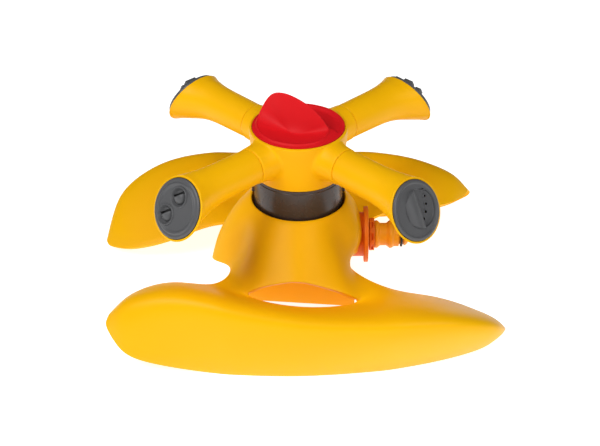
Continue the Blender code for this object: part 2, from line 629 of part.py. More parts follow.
def rotor_lower(materials, rotor, washer_top, clip_base):
    """Bush, dark collar and the parts that close the bearing; they turn with the hub."""
    white, dark, steel, rubber = materials
    bush_base = washer_top + FACE_GAP
    bush_bore = SPINDLE_RADIUS + RUNNING_GAP
    add_object("bearing_bush", turned_mesh("bearing_bush", [
        (bush_bore, bush_base), (WASHER_RADIUS, bush_base),
        (WASHER_RADIUS, bush_base + BUSH_FLANGE_WALL), (BUSH_RADIUS, bush_base + BUSH_FLANGE_WALL),
        (BUSH_RADIUS, BUSH_TOP), (bush_bore, BUSH_TOP)], 20), white, rotor)
    floor = bush_base + BUSH_FLANGE_WALL + FACE_GAP
    hub_bore = BUSH_RADIUS + FACE_GAP
    spigot = COLLAR_RADIUS - HUB_WALL - FACE_GAP
    spigot_top = HUB_FOOT_HEIGHT + COLLAR_SPIGOT_HEIGHT
    collar = add_object("collar", turned_mesh("collar", [
        (hub_bore, floor), (COLLAR_RADIUS - 0.0012, floor), (COLLAR_RADIUS, floor + 0.0012),
        (COLLAR_RADIUS, HUB_FOOT_HEIGHT - FACE_GAP), (spigot, HUB_FOOT_HEIGHT - FACE_GAP),
        (spigot, spigot_top), (spigot - COLLAR_WALL, spigot_top),
        (spigot - COLLAR_WALL, floor + COLLAR_WALL), (COLLAR_HUB_RADIUS, floor + COLLAR_WALL),
        (COLLAR_HUB_RADIUS, BUSH_TOP), (hub_bore, BUSH_TOP)], 28), dark, rotor)
    bm = bmesh.new()
    for turn in (0, math.pi):
        place = Matrix.Rotation(turn - HEAD_TURN, 4, 'Z') @ Matrix.Translation(
            (COLLAR_RADIUS, 0, LUG_HEIGHT)) @ Matrix.Diagonal((0.0030, 0.0050, 0.0022, 1))
        bmesh.ops.create_cube(bm, size=1, matrix=place)
    boolean(collar, make_cutter("collar_lugs", mesh_from(bm, "collar_lugs"), rotor), 'UNION')
    clip_ring = [(SPINDLE_RADIUS - 0.0008 + FACE_GAP, clip_base), (SPINDLE_RADIUS + 0.0022, clip_base),
                 (SPINDLE_RADIUS + 0.0022, clip_base + CLIP_THICKNESS),
                 (SPINDLE_RADIUS - 0.0008 + FACE_GAP, clip_base + CLIP_THICKNESS)]
    add_object("spindle_clip", turned_mesh("spindle_clip", clip_ring, 20), steel)
    seal_base = DRUM_BASE + 0.0008
    add_object("spindle_seal", turned_mesh("spindle_seal", [
        (SPINDLE_RADIUS + FACE_GAP, seal_base), (SPINDLE_RADIUS + 0.0026, seal_base),
        (SPINDLE_RADIUS + 0.0026, seal_base + SEAL_RING_HEIGHT),
        (SPINDLE_RADIUS + FACE_GAP, seal_base + SEAL_RING_HEIGHT)], 20), rubber, rotor)


def arm_angle(i):
    """Arm i's direction, starting with the front left and going round anticlockwise."""
    return math.radians(225) + math.tau * i / ARM_COUNT


def rotor_hub(material, rotor):
    """The hub: a turned cup open at both ends, with a stub and a bore for each arm."""
    inner_foot = HUB_FOOT_RADIUS - HUB_WALL
    inner_top = HUB_TOP_RADIUS - HUB_WALL
    seat = KNOB_HEIGHT - KNOB_THICKNESS - FACE_GAP
    lip_bore = KNOB_RADIUS + RUNNING_GAP
    hub = add_object("rotor_hub", turned_mesh("rotor_hub", [
        (inner_foot, HUB_FOOT_HEIGHT), (HUB_FOOT_RADIUS - 0.0006, HUB_FOOT_HEIGHT),
        (HUB_FOOT_RADIUS, HUB_FOOT_HEIGHT + 0.0008), (HUB_TOP_RADIUS, HUB_TOP_HEIGHT - 0.0030),
        (HUB_TOP_RADIUS - 0.0008, HUB_TOP_HEIGHT),
        (lip_bore, HUB_TOP_HEIGHT), (lip_bore, seat), (inner_top - 0.0030, seat),
        (inner_top - 0.0030, seat - 0.0020), (inner_top, seat - 0.0044),
        (inner_foot + 0.0012, ARM_HEIGHT - 0.0040)], 32), material, rotor, sharp=35)
    for i in range(ARM_COUNT):
        along = (0, math.pi / 2, arm_angle(i))
        stub = turned_mesh("stub", [(0, inner_top - 0.0020), (STUB_ROOT_RADIUS, inner_top - 0.0020),
                                    (STUB_ROOT_RADIUS, HUB_TOP_RADIUS - 0.0010),
                                    (STUB_RADIUS + 0.0002, HUB_TOP_RADIUS + 0.0040),
                                    (STUB_RADIUS, STUB_END), (0, STUB_END)], 16)
        boolean(hub, make_cutter(f"stub_shape_{i}", stub, rotor, (0, 0, ARM_HEIGHT), along), 'UNION')
    recess = cylinder_mesh("knob_recess", lip_bore, seat, HUB_TOP_HEIGHT + 0.0010, 32)
    boolean(hub, make_cutter("knob_recess_cutter", recess, rotor))
    for i in range(ARM_COUNT):
        along = (0, math.pi / 2, arm_angle(i))
        bore = cylinder_mesh("stub_bore", ARM_BORE, DRUM_RADIUS, STUB_END + 0.0010, 10)
        boolean(hub, make_cutter(f"stub_bore_{i}", bore, rotor, (0, 0, ARM_HEIGHT), along))
    return hub


def arm_section(x, z, radius, tilt, count=ARM_SIDES):
    """One ring of an arm that points along +X, tilted up by an angle."""
    up = Vector((-math.sin(tilt), 0, math.cos(tilt)))
    side = Vector((0, 1, 0))
    centre = Vector((x, 0, z))
    return [centre + radius * (math.cos(math.tau * k / count) * up + math.sin(math.tau * k / count) * side)
            for k in range(count)]


def arm_mesh():
    """A hollow arm: a straight tube that flares into a bell with an upturned mouth."""
    root = STUB_END + FACE_GAP
    outer = []
    for along, drop, grow, turn in ARM_FLARE:
        outer.append(arm_section(root + (ARM_REACH - root) * along, -ARM_DROP * drop,
                                 ARM_RADIUS + (BELL_RADIUS - ARM_RADIUS) * grow, ARM_TILT * turn))

    def mouth_section(depth, radius):
        return arm_section(ARM_REACH - depth * math.cos(ARM_TILT), -ARM_DROP - depth * math.sin(ARM_TILT),
                           radius, ARM_TILT)
    outer += [mouth_section(BELL_RIM_DEPTH, BELL_RADIUS - 0.0001), mouth_section(0.0, BELL_RADIUS)]
    mouth = CAP_RADIUS + FACE_GAP
    inner = [mouth_section(depth, radius) for depth, radius in (
        (0.0, mouth), (CAP_SEAT_DEPTH, mouth), (CAP_SEAT_DEPTH, RING_BORE), (RING_SEAT_DEPTH, RING_BORE),
        (RING_SEAT_DEPTH, RING_SEAT_BORE))]
    for along, drop, grow, turn in (ARM_FLARE[3], ARM_FLARE[1], ARM_FLARE[0]):
        inner.append(arm_section(root + (ARM_REACH - root) * along, -ARM_DROP * drop,
                                 ARM_BORE + (RING_SEAT_BORE - ARM_BORE) * grow, ARM_TILT * turn))
    return loft_mesh("arm", outer + inner, True)


def cap_frame(i):
    """Place of arm i's nozzle mouth in the rotor's frame, with local +Z out of the mouth."""
    return (Matrix.Rotation(arm_angle(i), 4, 'Z')
            @ Matrix.Translation((ARM_REACH, 0, ARM_HEIGHT - ARM_DROP))
            @ Matrix.Rotation(math.pi / 2 - ARM_TILT, 4, 'Y')
            @ Matrix.Rotation(math.pi / 2, 4, 'Z'))


def cap_body(name, material, rotor, i, crown, sharp=40):
    """A nozzle cap: a disc with a rolled edge, a face profile and a spigot behind."""
    base = FACE_GAP - CAP_SEAT_DEPTH
    boss_radius = RING_BORE - FACE_GAP
    boss = CAP_RING_THICKNESS + 2 * FACE_GAP - RING_SEAT_DEPTH
    profile = [(0, boss - CAP_SPIGOT_LENGTH), (CAP_SPIGOT_RADIUS, boss - CAP_SPIGOT_LENGTH),
               (CAP_SPIGOT_RADIUS, boss), (boss_radius, boss), (boss_radius, base),
               (CAP_RADIUS, base), (CAP_RADIUS, 0.0001)] + crown
    cap = add_object(name, turned_mesh(name, profile, ARM_SIDES), material, rotor, sharp=sharp)
    cap.matrix_local = cap_frame(i)
    return cap


def shape_cap(cap, name, bm, rotor, i, operation='DIFFERENCE'):
    """Cuts or adds a shape given in the cap's own frame."""
    tool = make_cutter(name, mesh_from(bm, name), rotor)
    tool.matrix_local = cap_frame(i)
    boolean(cap, tool, operation)


def nozzle_caps(grey, rubber, rotor):
    """Four different caps, one on each arm, with their seal rings."""
    face = [(CAP_RADIUS - 0.0010, 0.0010), (CAP_RADIUS - 0.0028, 0.0012),
            (CAP_RADIUS - 0.0036, 0.0004), (0, 0.0008)]
    twin = cap_body("nozzle_twin_slot", grey, rotor, 0, face)
    hoods, slots = bmesh.new(), bmesh.new()
    for x, y in TWIN_PLACES:
        hood_place = (Matrix.Translation((x, y - 0.0026, 0.0002)) @ Matrix.Rotation(TWIN_TURN, 4, 'Z')
                      @ Matrix.Diagonal((TWIN_LENGTH * 0.62, 0.0046, 0.0034, 1)))
        bmesh.ops.create_uvsphere(hoods, u_segments=12, v_segments=6, radius=1, matrix=hood_place)
        slot_place = (Matrix.Translation((x, y, 0.0020)) @ Matrix.Rotation(TWIN_TURN, 4, 'Z')
                      @ Matrix.Diagonal((TWIN_LENGTH, TWIN_WIDTH, 0.0060, 1)))
        bmesh.ops.create_cube(slots, size=1, matrix=slot_place)
    shape_cap(twin, "twin_hood", hoods, rotor, 0, 'UNION')
    shape_cap(twin, "twin_slot", slots, rotor, 0)

    dish = [(CAP_RADIUS - 0.0008, 0.0012), (CAP_RADIUS - 0.0024, 0.0014), (CAP_RADIUS - 0.0040, 0.0002),
            (CAP_RADIUS - 0.0056, 0.0010), (CAP_RADIUS - 0.0068, 0.0010), (CAP_RADIUS - 0.0092, -0.0018),
            (0, -0.0012)]
    shower = cap_body("nozzle_shower", grey, rotor, 1, dish)
    holes = bmesh.new()
    for i in range(SHOWER_HOLES):
        angle = SHOWER_START + SHOWER_SPREAD * i / (SHOWER_HOLES - 1)
        place = Matrix.Translation((SHOWER_CIRCLE * math.cos(angle), SHOWER_CIRCLE * math.sin(angle), 0))
        bmesh.ops.create_cone(holes, cap_ends=True, segments=6, radius1=SHOWER_HOLE_RADIUS,
                              radius2=SHOWER_HOLE_RADIUS, depth=0.0090, matrix=place)
    shape_cap(shower, "shower_holes", holes, rotor, 1)

    low = [(CAP_RADIUS - 0.0008, 0.0008), (0, 0.0010)]
    for name, i, blocks in (("nozzle_castle", 2, CASTLE_BLOCKS), ("nozzle_stepped", 3, STEPPED_BLOCKS)):
        cap = cap_body(name, grey, rotor, i, low)
        for number, (x, y, wide, deep, tall) in enumerate(blocks):
            bm = bmesh.new()
            bmesh.ops.create_cube(bm, size=1, matrix=Matrix.Translation((x, y, tall / 2))
                                  @ Matrix.Diagonal((wide, deep, tall, 1)))
            bmesh.ops.bevel(bm, geom=bm.edges, offset=0.0005, segments=1, affect='EDGES')
            shape_cap(cap, f"{name}_block_{number}", bm, rotor, i, 'UNION')

    ring_base = FACE_GAP - RING_SEAT_DEPTH
    ring_top = ring_base + CAP_RING_THICKNESS
    ring = turned_mesh("nozzle_seal", [(RING_SEAT_BORE + 0.0004, ring_base), (RING_BORE - 0.0004, ring_base),
                                       (RING_BORE - 0.0004, ring_top), (RING_SEAT_BORE + 0.0004, ring_top)],
                       ARM_SIDES)
    for i in range(ARM_COUNT):
        seal = add_object(f"nozzle_seal_{i + 1}", ring, rubber, rotor)
        seal.matrix_local = cap_frame(i)


def distributor(materials, rotor):
    """The drum that takes water from the spindle to the valve face and back out to the arms."""
    grey, rubber = materials
    socket = SPINDLE_RADIUS + 0.0029
    drum = add_object("distributor", turned_mesh("distributor", [
        (socket, DRUM_BASE), (DRUM_RADIUS - 0.0040, DRUM_BASE), (DRUM_RADIUS, DRUM_BASE + 0.0030),
        (DRUM_RADIUS, DRUM_TOP), (SPINDLE_BORE, DRUM_TOP), (SPINDLE_BORE, DRUM_BASE + 0.0070),
        (socket, DRUM_BASE + 0.0070)], 20), grey, rotor)
    bm = bmesh.new()
    for i in range(ARM_COUNT):
        angle = arm_angle(i)
        place = Matrix.Translation((PORT_CIRCLE * math.cos(angle), PORT_CIRCLE * math.sin(angle),
                                    (ARM_HEIGHT + DRUM_TOP + 0.001) / 2))
        bmesh.ops.create_cone(bm, cap_ends=True, segments=8, radius1=PORT_RADIUS, radius2=PORT_RADIUS,
                              depth=DRUM_TOP + 0.001 - ARM_HEIGHT, matrix=place)
    boolean(drum, make_cutter("port_cutter", mesh_from(bm, "ports"), rotor))
    for i in range(ARM_COUNT):
        bore = cylinder_mesh("outlet", PORT_RADIUS + 0.0010, PORT_CIRCLE, DRUM_RADIUS + 0.0010, 8)
        boolean(drum, make_cutter(f"outlet_cutter_{i}", bore, rotor, (0, 0, ARM_HEIGHT),
                                  (0, math.pi / 2, arm_angle(i))))
    seat_base = DRUM_TOP + FACE_GAP
    seat_top = seat_base + 0.0010
    seat = add_object("valve_seat", turned_mesh("valve_seat", [
        (STEM_RADIUS, seat_base), (DRUM_RADIUS - SEAT_BORDER, seat_base), (DRUM_RADIUS - SEAT_BORDER, seat_top),
        (STEM_RADIUS, seat_top)], 20), rubber, rotor)
    bm = bmesh.new()
    for i in range(ARM_COUNT):
        angle = arm_angle(i)
        place = Matrix.Translation((PORT_CIRCLE * math.cos(angle), PORT_CIRCLE * math.sin(angle),
                                    (seat_base + seat_top) / 2))
        bmesh.ops.create_cone(bm, cap_ends=True, segments=8, radius1=PORT_RADIUS, radius2=PORT_RADIUS,
                              depth=0.004, matrix=place)
    boolean(seat, make_cutter("seat_hole_cutter", mesh_from(bm, "seat_holes"), rotor))
    return seat_top


def between(curve, place):
    """Value of a smooth run of (place, value) pairs."""
    if place <= curve[0][0]:
        return curve[0][1]
    for (a, low), (b, high) in zip(curve, curve[1:]):
        if place <= b:
            t = (place - a) / (b - a)
            return low + (high - low) * t
    return curve[-1][1]


def crest_place(along):
    """How far back the crest stands at a place along the blade, as a share of the radius."""
    return BLADE_BACK_PLACE + (BLADE_FRONT_PLACE - BLADE_BACK_PLACE) * (along + 1) / 2


def knob_height(x, y):
    """Height of the knob's face above its rim: a blade across the disc, scooped on both sides."""
    along = x / KNOB_RADIUS
    radius = math.hypot(x, y) / KNOB_RADIUS
    crest = BLADE_HEIGHT * between(BLADE_CREST, along)
    offset = y / KNOB_RADIUS - crest_place(along)
    reach = BLADE_FRONT if offset < 0 else BLADE_BACK
    side = max(0.0, 1 - max(0.0, abs(offset) - BLADE_HALF_THICKNESS / KNOB_RADIUS) / reach)
    basin = min(1.0, max(0.0, (0.90 - radius) / 0.16)) * min(1.0, abs(offset) / 0.22)
    return crest * side ** BLADE_HOLLOW - SCOOP_DEPTH * basin


def selector(materials, knob_axis, seat_top):
    """The red knob with its blade, and the valve disc and stem that it turns."""
    red, white, rubber, steel = materials
    bm = bmesh.new()
    grid = []
    for v in KNOB_LINES:
        row = []
        for step in range(KNOB_STEPS + 1):
            u = -1 + 2 * step / KNOB_STEPS
            bent = v + crest_place(u) * (1 - v * v) * (1 - u ** 4)
            x = KNOB_RADIUS * u * math.sqrt(1 - bent * bent / 2)
            y = KNOB_RADIUS * math.sqrt(1 - u * u / 2) * bent
            rim = max(abs(u), abs(v)) > 0.999
            row.append(bm.verts.new((x, y, 0.0 if rim else max(knob_height(x, y), -SCOOP_DEPTH))))
        grid.append(row)
    for low, high in zip(grid, grid[1:]):
        for k in range(KNOB_STEPS):
            bm.faces.new((low[k], low[k + 1], high[k + 1], high[k]))
    edge = (grid[0][:-1] + [row[-1] for row in grid[:-1]] + list(reversed(grid[-1]))[:-1]
            + [row[0] for row in reversed(grid[1:])])
    stem = STEM_RADIUS - 0.0010
    stem_end = seat_top + DISC_THICKNESS + 0.0006 - KNOB_HEIGHT
    for radius, height in ((KNOB_RADIUS, -KNOB_THICKNESS), (stem, -KNOB_THICKNESS), (stem, stem_end)):
        ring = [bm.verts.new((v.co.x / math.hypot(v.co.x, v.co.y) * radius,
                              v.co.y / math.hypot(v.co.x, v.co.y) * radius, height)) for v in edge]
        for k in range(len(edge)):
            j = (k + 1) % len(edge)
            bm.faces.new((edge[k], ring[k], ring[j], edge[j]))
        edge = ring
    bm.faces.new(list(reversed(edge)))
    knob = add_object("selector_knob", mesh_from(bm, "selector_knob"), red, knob_axis,
                      (0, 0, KNOB_HEIGHT), (0, 0, BLADE_TURN), 50)
    disc_base = seat_top + FACE_GAP
    disc = add_object("valve_disc", turned_mesh("valve_disc", [
        (0, disc_base), (DRUM_RADIUS - DISC_BORDER, disc_base),
        (DRUM_RADIUS - DISC_BORDER, disc_base + DISC_THICKNESS), (0, disc_base + DISC_THICKNESS)], 24),
        white, knob_axis)
    bm = bmesh.new()
    for angle in (0.0, math.pi):
        place = Matrix.Translation((PORT_CIRCLE * math.cos(angle), PORT_CIRCLE * math.sin(angle),
                                    disc_base + DISC_THICKNESS / 2))
        bmesh.ops.create_cone(bm, cap_ends=True, segments=8, radius1=PORT_RADIUS, radius2=PORT_RADIUS,
                              depth=DISC_THICKNESS * 3, matrix=place)
    boolean(disc, make_cutter("disc_port_cutter", mesh_from(bm, "disc_ports"), knob_axis))
    seal_at = disc_base + DISC_THICKNESS + 0.0016
    add_object("stem_seal", torus_mesh("stem_seal", stem + 0.0012, 0.0009, 18, 6), rubber, knob_axis,
               (0, 0, seal_at))
    return knob


def build():
    """Makes every piece."""
    yellow = make_material("sun_yellow_plastic", (0.95, 0.52, 0.02), 0.42)
    inner_yellow = make_material("inner_yellow_plastic", (0.93, 0.42, 0.03), 0.50)
    orange = make_material("orange_plastic", (0.85, 0.16, 0.03), 0.40)
    tail_yellow = make_material("amber_plastic", (0.93, 0.36, 0.03), 0.40)
    grey = make_material("slate_grey_plastic", (0.12, 0.12, 0.125), 0.45)
    dark = make_material("dark_gloss_plastic", (0.06, 0.045, 0.04), 0.16)
    red = make_material("signal_red_plastic", (0.78, 0.02, 0.03), 0.36)
    white = make_material("natural_bearing_plastic", (0.75, 0.74, 0.70), 0.45)
    rubber = make_material("black_rubber", (0.02, 0.02, 0.02), 0.70)
    steel = make_material("bright_steel", (0.62, 0.62, 0.64), 0.30, 1.0)

    shell = base_shell(yellow)
    floor_cut = screw_holes("floor_hole_cutter", SCREW_RADIUS + FACE_GAP,
                            CUP_FLOOR - SHELL_WALL - 0.001, CUP_FLOOR + 0.001)
    boolean(shell, floor_cut)
    boolean(shell, make_cutter("inlet_opening_cutter", cylinder_mesh(
        "inlet_opening", SPIGOT_RADIUS + FACE_GAP, INLET_SIDE_REACH - 0.016, FLANGE_FACE, 24),
        None, (0, 0, INLET_HEIGHT), (0, math.pi / 2, 0)))
    pipe_cover(inner_yellow)
    elbow_top = inlet_group((orange, tail_yellow, rubber, grey))
    washer_top, clip_base = bearing_group((grey, white, steel, rubber), elbow_top)
    rotor = make_empty("rotor_axis", turn=HEAD_TURN)
    rotor_lower((white, dark, steel, rubber), rotor, washer_top, clip_base)
    rotor_hub(yellow, rotor)
    arm = arm_mesh()
    for i, side in enumerate(("front_left", "front_right", "back_right", "back_left")):
        add_object(f"arm_{side}", arm.copy(), yellow, rotor, (0, 0, ARM_HEIGHT), (0, 0, arm_angle(i)))
    nozzle_caps(grey, rubber, rotor)
    seat_top = distributor((grey, rubber), rotor)
    knob_axis = make_empty("selector_axis", parent=rotor)
    selector((red, white, rubber, steel), knob_axis, seat_top)


clear_scene()
build()
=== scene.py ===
import json
import math

import bmesh
import bpy
from mathutils import Matrix, Vector


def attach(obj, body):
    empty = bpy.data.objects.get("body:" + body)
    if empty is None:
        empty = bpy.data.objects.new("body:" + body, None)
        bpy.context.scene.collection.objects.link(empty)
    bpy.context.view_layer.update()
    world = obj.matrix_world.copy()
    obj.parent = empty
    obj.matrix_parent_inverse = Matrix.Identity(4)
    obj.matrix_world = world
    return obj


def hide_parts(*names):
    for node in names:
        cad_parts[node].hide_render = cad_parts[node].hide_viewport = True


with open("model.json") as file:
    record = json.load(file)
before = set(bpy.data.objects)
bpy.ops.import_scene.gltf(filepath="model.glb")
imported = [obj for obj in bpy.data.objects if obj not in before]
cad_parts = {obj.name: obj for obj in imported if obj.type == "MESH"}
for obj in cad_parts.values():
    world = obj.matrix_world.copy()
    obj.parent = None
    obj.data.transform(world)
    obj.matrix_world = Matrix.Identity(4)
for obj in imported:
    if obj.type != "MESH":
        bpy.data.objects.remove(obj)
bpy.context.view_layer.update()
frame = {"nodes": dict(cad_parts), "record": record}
print("frame loaded")

# Camera
camera = {
    "target": Vector((0.00115, 0.0, 0.0576)),
    "elevation": math.radians(32.0),
    "distance": 1.25,
    "lens": 104.2,
    "sensor": 36.0,
}
cameraData = bpy.data.cameras.new("camera")
cameraData.lens = camera["lens"]
cameraData.sensor_width = camera["sensor"]
cameraData.clip_start = 0.05
cameraData.clip_end = 20.0
cameraObject = bpy.data.objects.new("camera", cameraData)
lookDirection = Vector((0.0, math.cos(camera["elevation"]), -math.sin(camera["elevation"])))
cameraObject.location = camera["target"] - lookDirection * camera["distance"]
cameraObject.rotation_euler = lookDirection.to_track_quat("-Z", "Y").to_euler()
bpy.context.scene.collection.objects.link(cameraObject)
bpy.context.scene.camera = cameraObject
print("camera placed")

# Shared tools for meshes


def smoothSides(mesh, sharpDegrees):
    mesh.shade_smooth()
    mesh.set_sharp_from_angle(angle=math.radians(sharpDegrees))


def meshOf(bm, name, sharpDegrees=None):
    mesh = bpy.data.meshes.new(name)
    bm.to_mesh(mesh)
    bm.free()
    if sharpDegrees is not None:
        smoothSides(mesh, sharpDegrees)
    return mesh


def loftRings(name, rings, closeRow=False, sharpDegrees=40.0):
    bm = bmesh.new()
    rows = [[bm.verts.new(point) for point in ring] for ring in rings]
    count = len(rings[0])
    for low, high in zip(rows, rows[1:] + (rows[:1] if closeRow else [])):
        for k in range(count):
            n = (k + 1) % count
            bm.faces.new((low[k], low[n], high[n], high[k]))
    if not closeRow:
        bm.faces.new(rows[0])
        bm.faces.new(rows[-1])
    bmesh.ops.recalc_face_normals(bm, faces=bm.faces)
    return meshOf(bm, name, sharpDegrees)


def turnedMesh(name, profile, steps=96, sharpDegrees=40.0):
    bm = bmesh.new()
    verts = [bm.verts.new((radius, 0.0, height)) for radius, height in profile]
    edges = []
    for i in range(len(verts)):
        j = (i + 1) % len(verts)
        if profile[i][0] > 0 or profile[j][0] > 0:
            edges.append(bm.edges.new((verts[i], verts[j])))
    bmesh.ops.spin(bm, geom=verts + edges, axis=(0, 0, 1), cent=(0, 0, 0), steps=steps, angle=math.tau)
    bmesh.ops.remove_doubles(bm, verts=bm.verts, dist=0.0000005)
    bmesh.ops.recalc_face_normals(bm, faces=bm.faces)
    return meshOf(bm, name, sharpDegrees)


def roundedProfile(points, radius, steps=4, mostOfSide=0.45, leastRound=0.00002, onAxis=0.00001):
    found = []
    count = len(points)
    for i in range(count):
        here = Vector(points[i])
        before = Vector(points[i - 1])
        after = Vector(points[(i + 1) % count])
        size = radius[i] if isinstance(radius, (list, tuple)) else radius
        size = min(size, (here - before).length * mostOfSide, (here - after).length * mostOfSide)
        if size < leastRound or here.x < onAxis:
            found.append(tuple(here))
            continue
        start = here + (before - here).normalized() * size
        end = here + (after - here).normalized() * size
        for s in range(steps + 1):
            t = s / steps
            point = start * (1 - t) ** 2 + here * 2 * t * (1 - t) + end * t ** 2
            found.append((point.x, point.y))
    return found


def moved(shape, radius, place):
    return [(radius + out, place + along) for out, along in shape]


def rodMesh(name, radius, low, high, steps):
    return turnedMesh(name, [(0, low), (radius, low), (radius, high), (0, high)], steps)


def discMesh(name, radius, shape, steps):
    bottom, rim, top, rounds = shape
    profile = [(0, bottom)] + moved(rim, radius, 0) + [(0, top)]
    return turnedMesh(name, roundedProfile(profile, rounds), steps)


def curveThrough(points, places):
    points = [Vector(p) for p in points]
    chain = [points[0] * 2 - points[1]] + points + [points[-1] * 2 - points[-2]]
    found = []
    for place in places:
        span = min(int(place), len(points) - 2)
        t = place - span
        a, b, c, d = chain[span:span + 4]
        found.append(0.5 * (2 * b + (c - a) * t + (2 * a - 5 * b + 4 * c - d) * t ** 2
                            + (3 * b - a - 3 * c + d) * t ** 3))
    return found


def makeObject(name, mesh, matrix=None):
    piece = bpy.data.objects.new(name, mesh)
    bpy.context.scene.collection.objects.link(piece)
    if matrix is not None:
        mesh.transform(matrix)
    return piece


def settleModifiers(piece, sharpDegrees=40.0):
    graph = bpy.context.evaluated_depsgraph_get()
    mesh = bpy.data.meshes.new_from_object(piece.evaluated_get(graph))
    piece.modifiers.clear()
    piece.data = mesh
    smoothSides(mesh, sharpDegrees)


def addBoolean(piece, other, operation="DIFFERENCE"):
    modifier = piece.modifiers.new("shape", "BOOLEAN")
    modifier.operation = operation
    modifier.solver = "EXACT"
    modifier.object = other


def addBevel(piece, width, segments, degrees):
    modifier = piece.modifiers.new("edges", "BEVEL")
    modifier.width = width
    modifier.segments = segments
    modifier.limit_method = "ANGLE"
    modifier.angle_limit = math.radians(degrees)


def dropObjects(*objects):
    for item in objects:
        bpy.data.objects.remove(item, do_unlink=True)


def shapeWith(piece, other, operation="DIFFERENCE", sharpDegrees=32):
    addBoolean(piece, other, operation)
    settleModifiers(piece, sharpDegrees)
    dropObjects(other)


# Node groups for the finish of moulded plastic


def newGroup(name, inputs, outputs):
    group = bpy.data.node_groups.new(name, "ShaderNodeTree")
    for label, kind, value in inputs:
        socket = group.interface.new_socket(name=label, in_out="INPUT", socket_type=kind)
        socket.default_value = value
    for label, kind in outputs:
        group.interface.new_socket(name=label, in_out="OUTPUT", socket_type=kind)
    return group


def addNode(tree, kind, x, y, inputs=None, **values):
    node = tree.nodes.new(kind)
    node.location = (x, y)
    for key, value in values.items():
        setattr(node, key, value)
    for label, value in (inputs or {}).items():
        node.inputs[label].default_value = value
    return node


def wire(tree, *links):
    for fromNode, output, toNode, socket in links:
        tree.links.new(fromNode.outputs[output], toNode.inputs[socket])


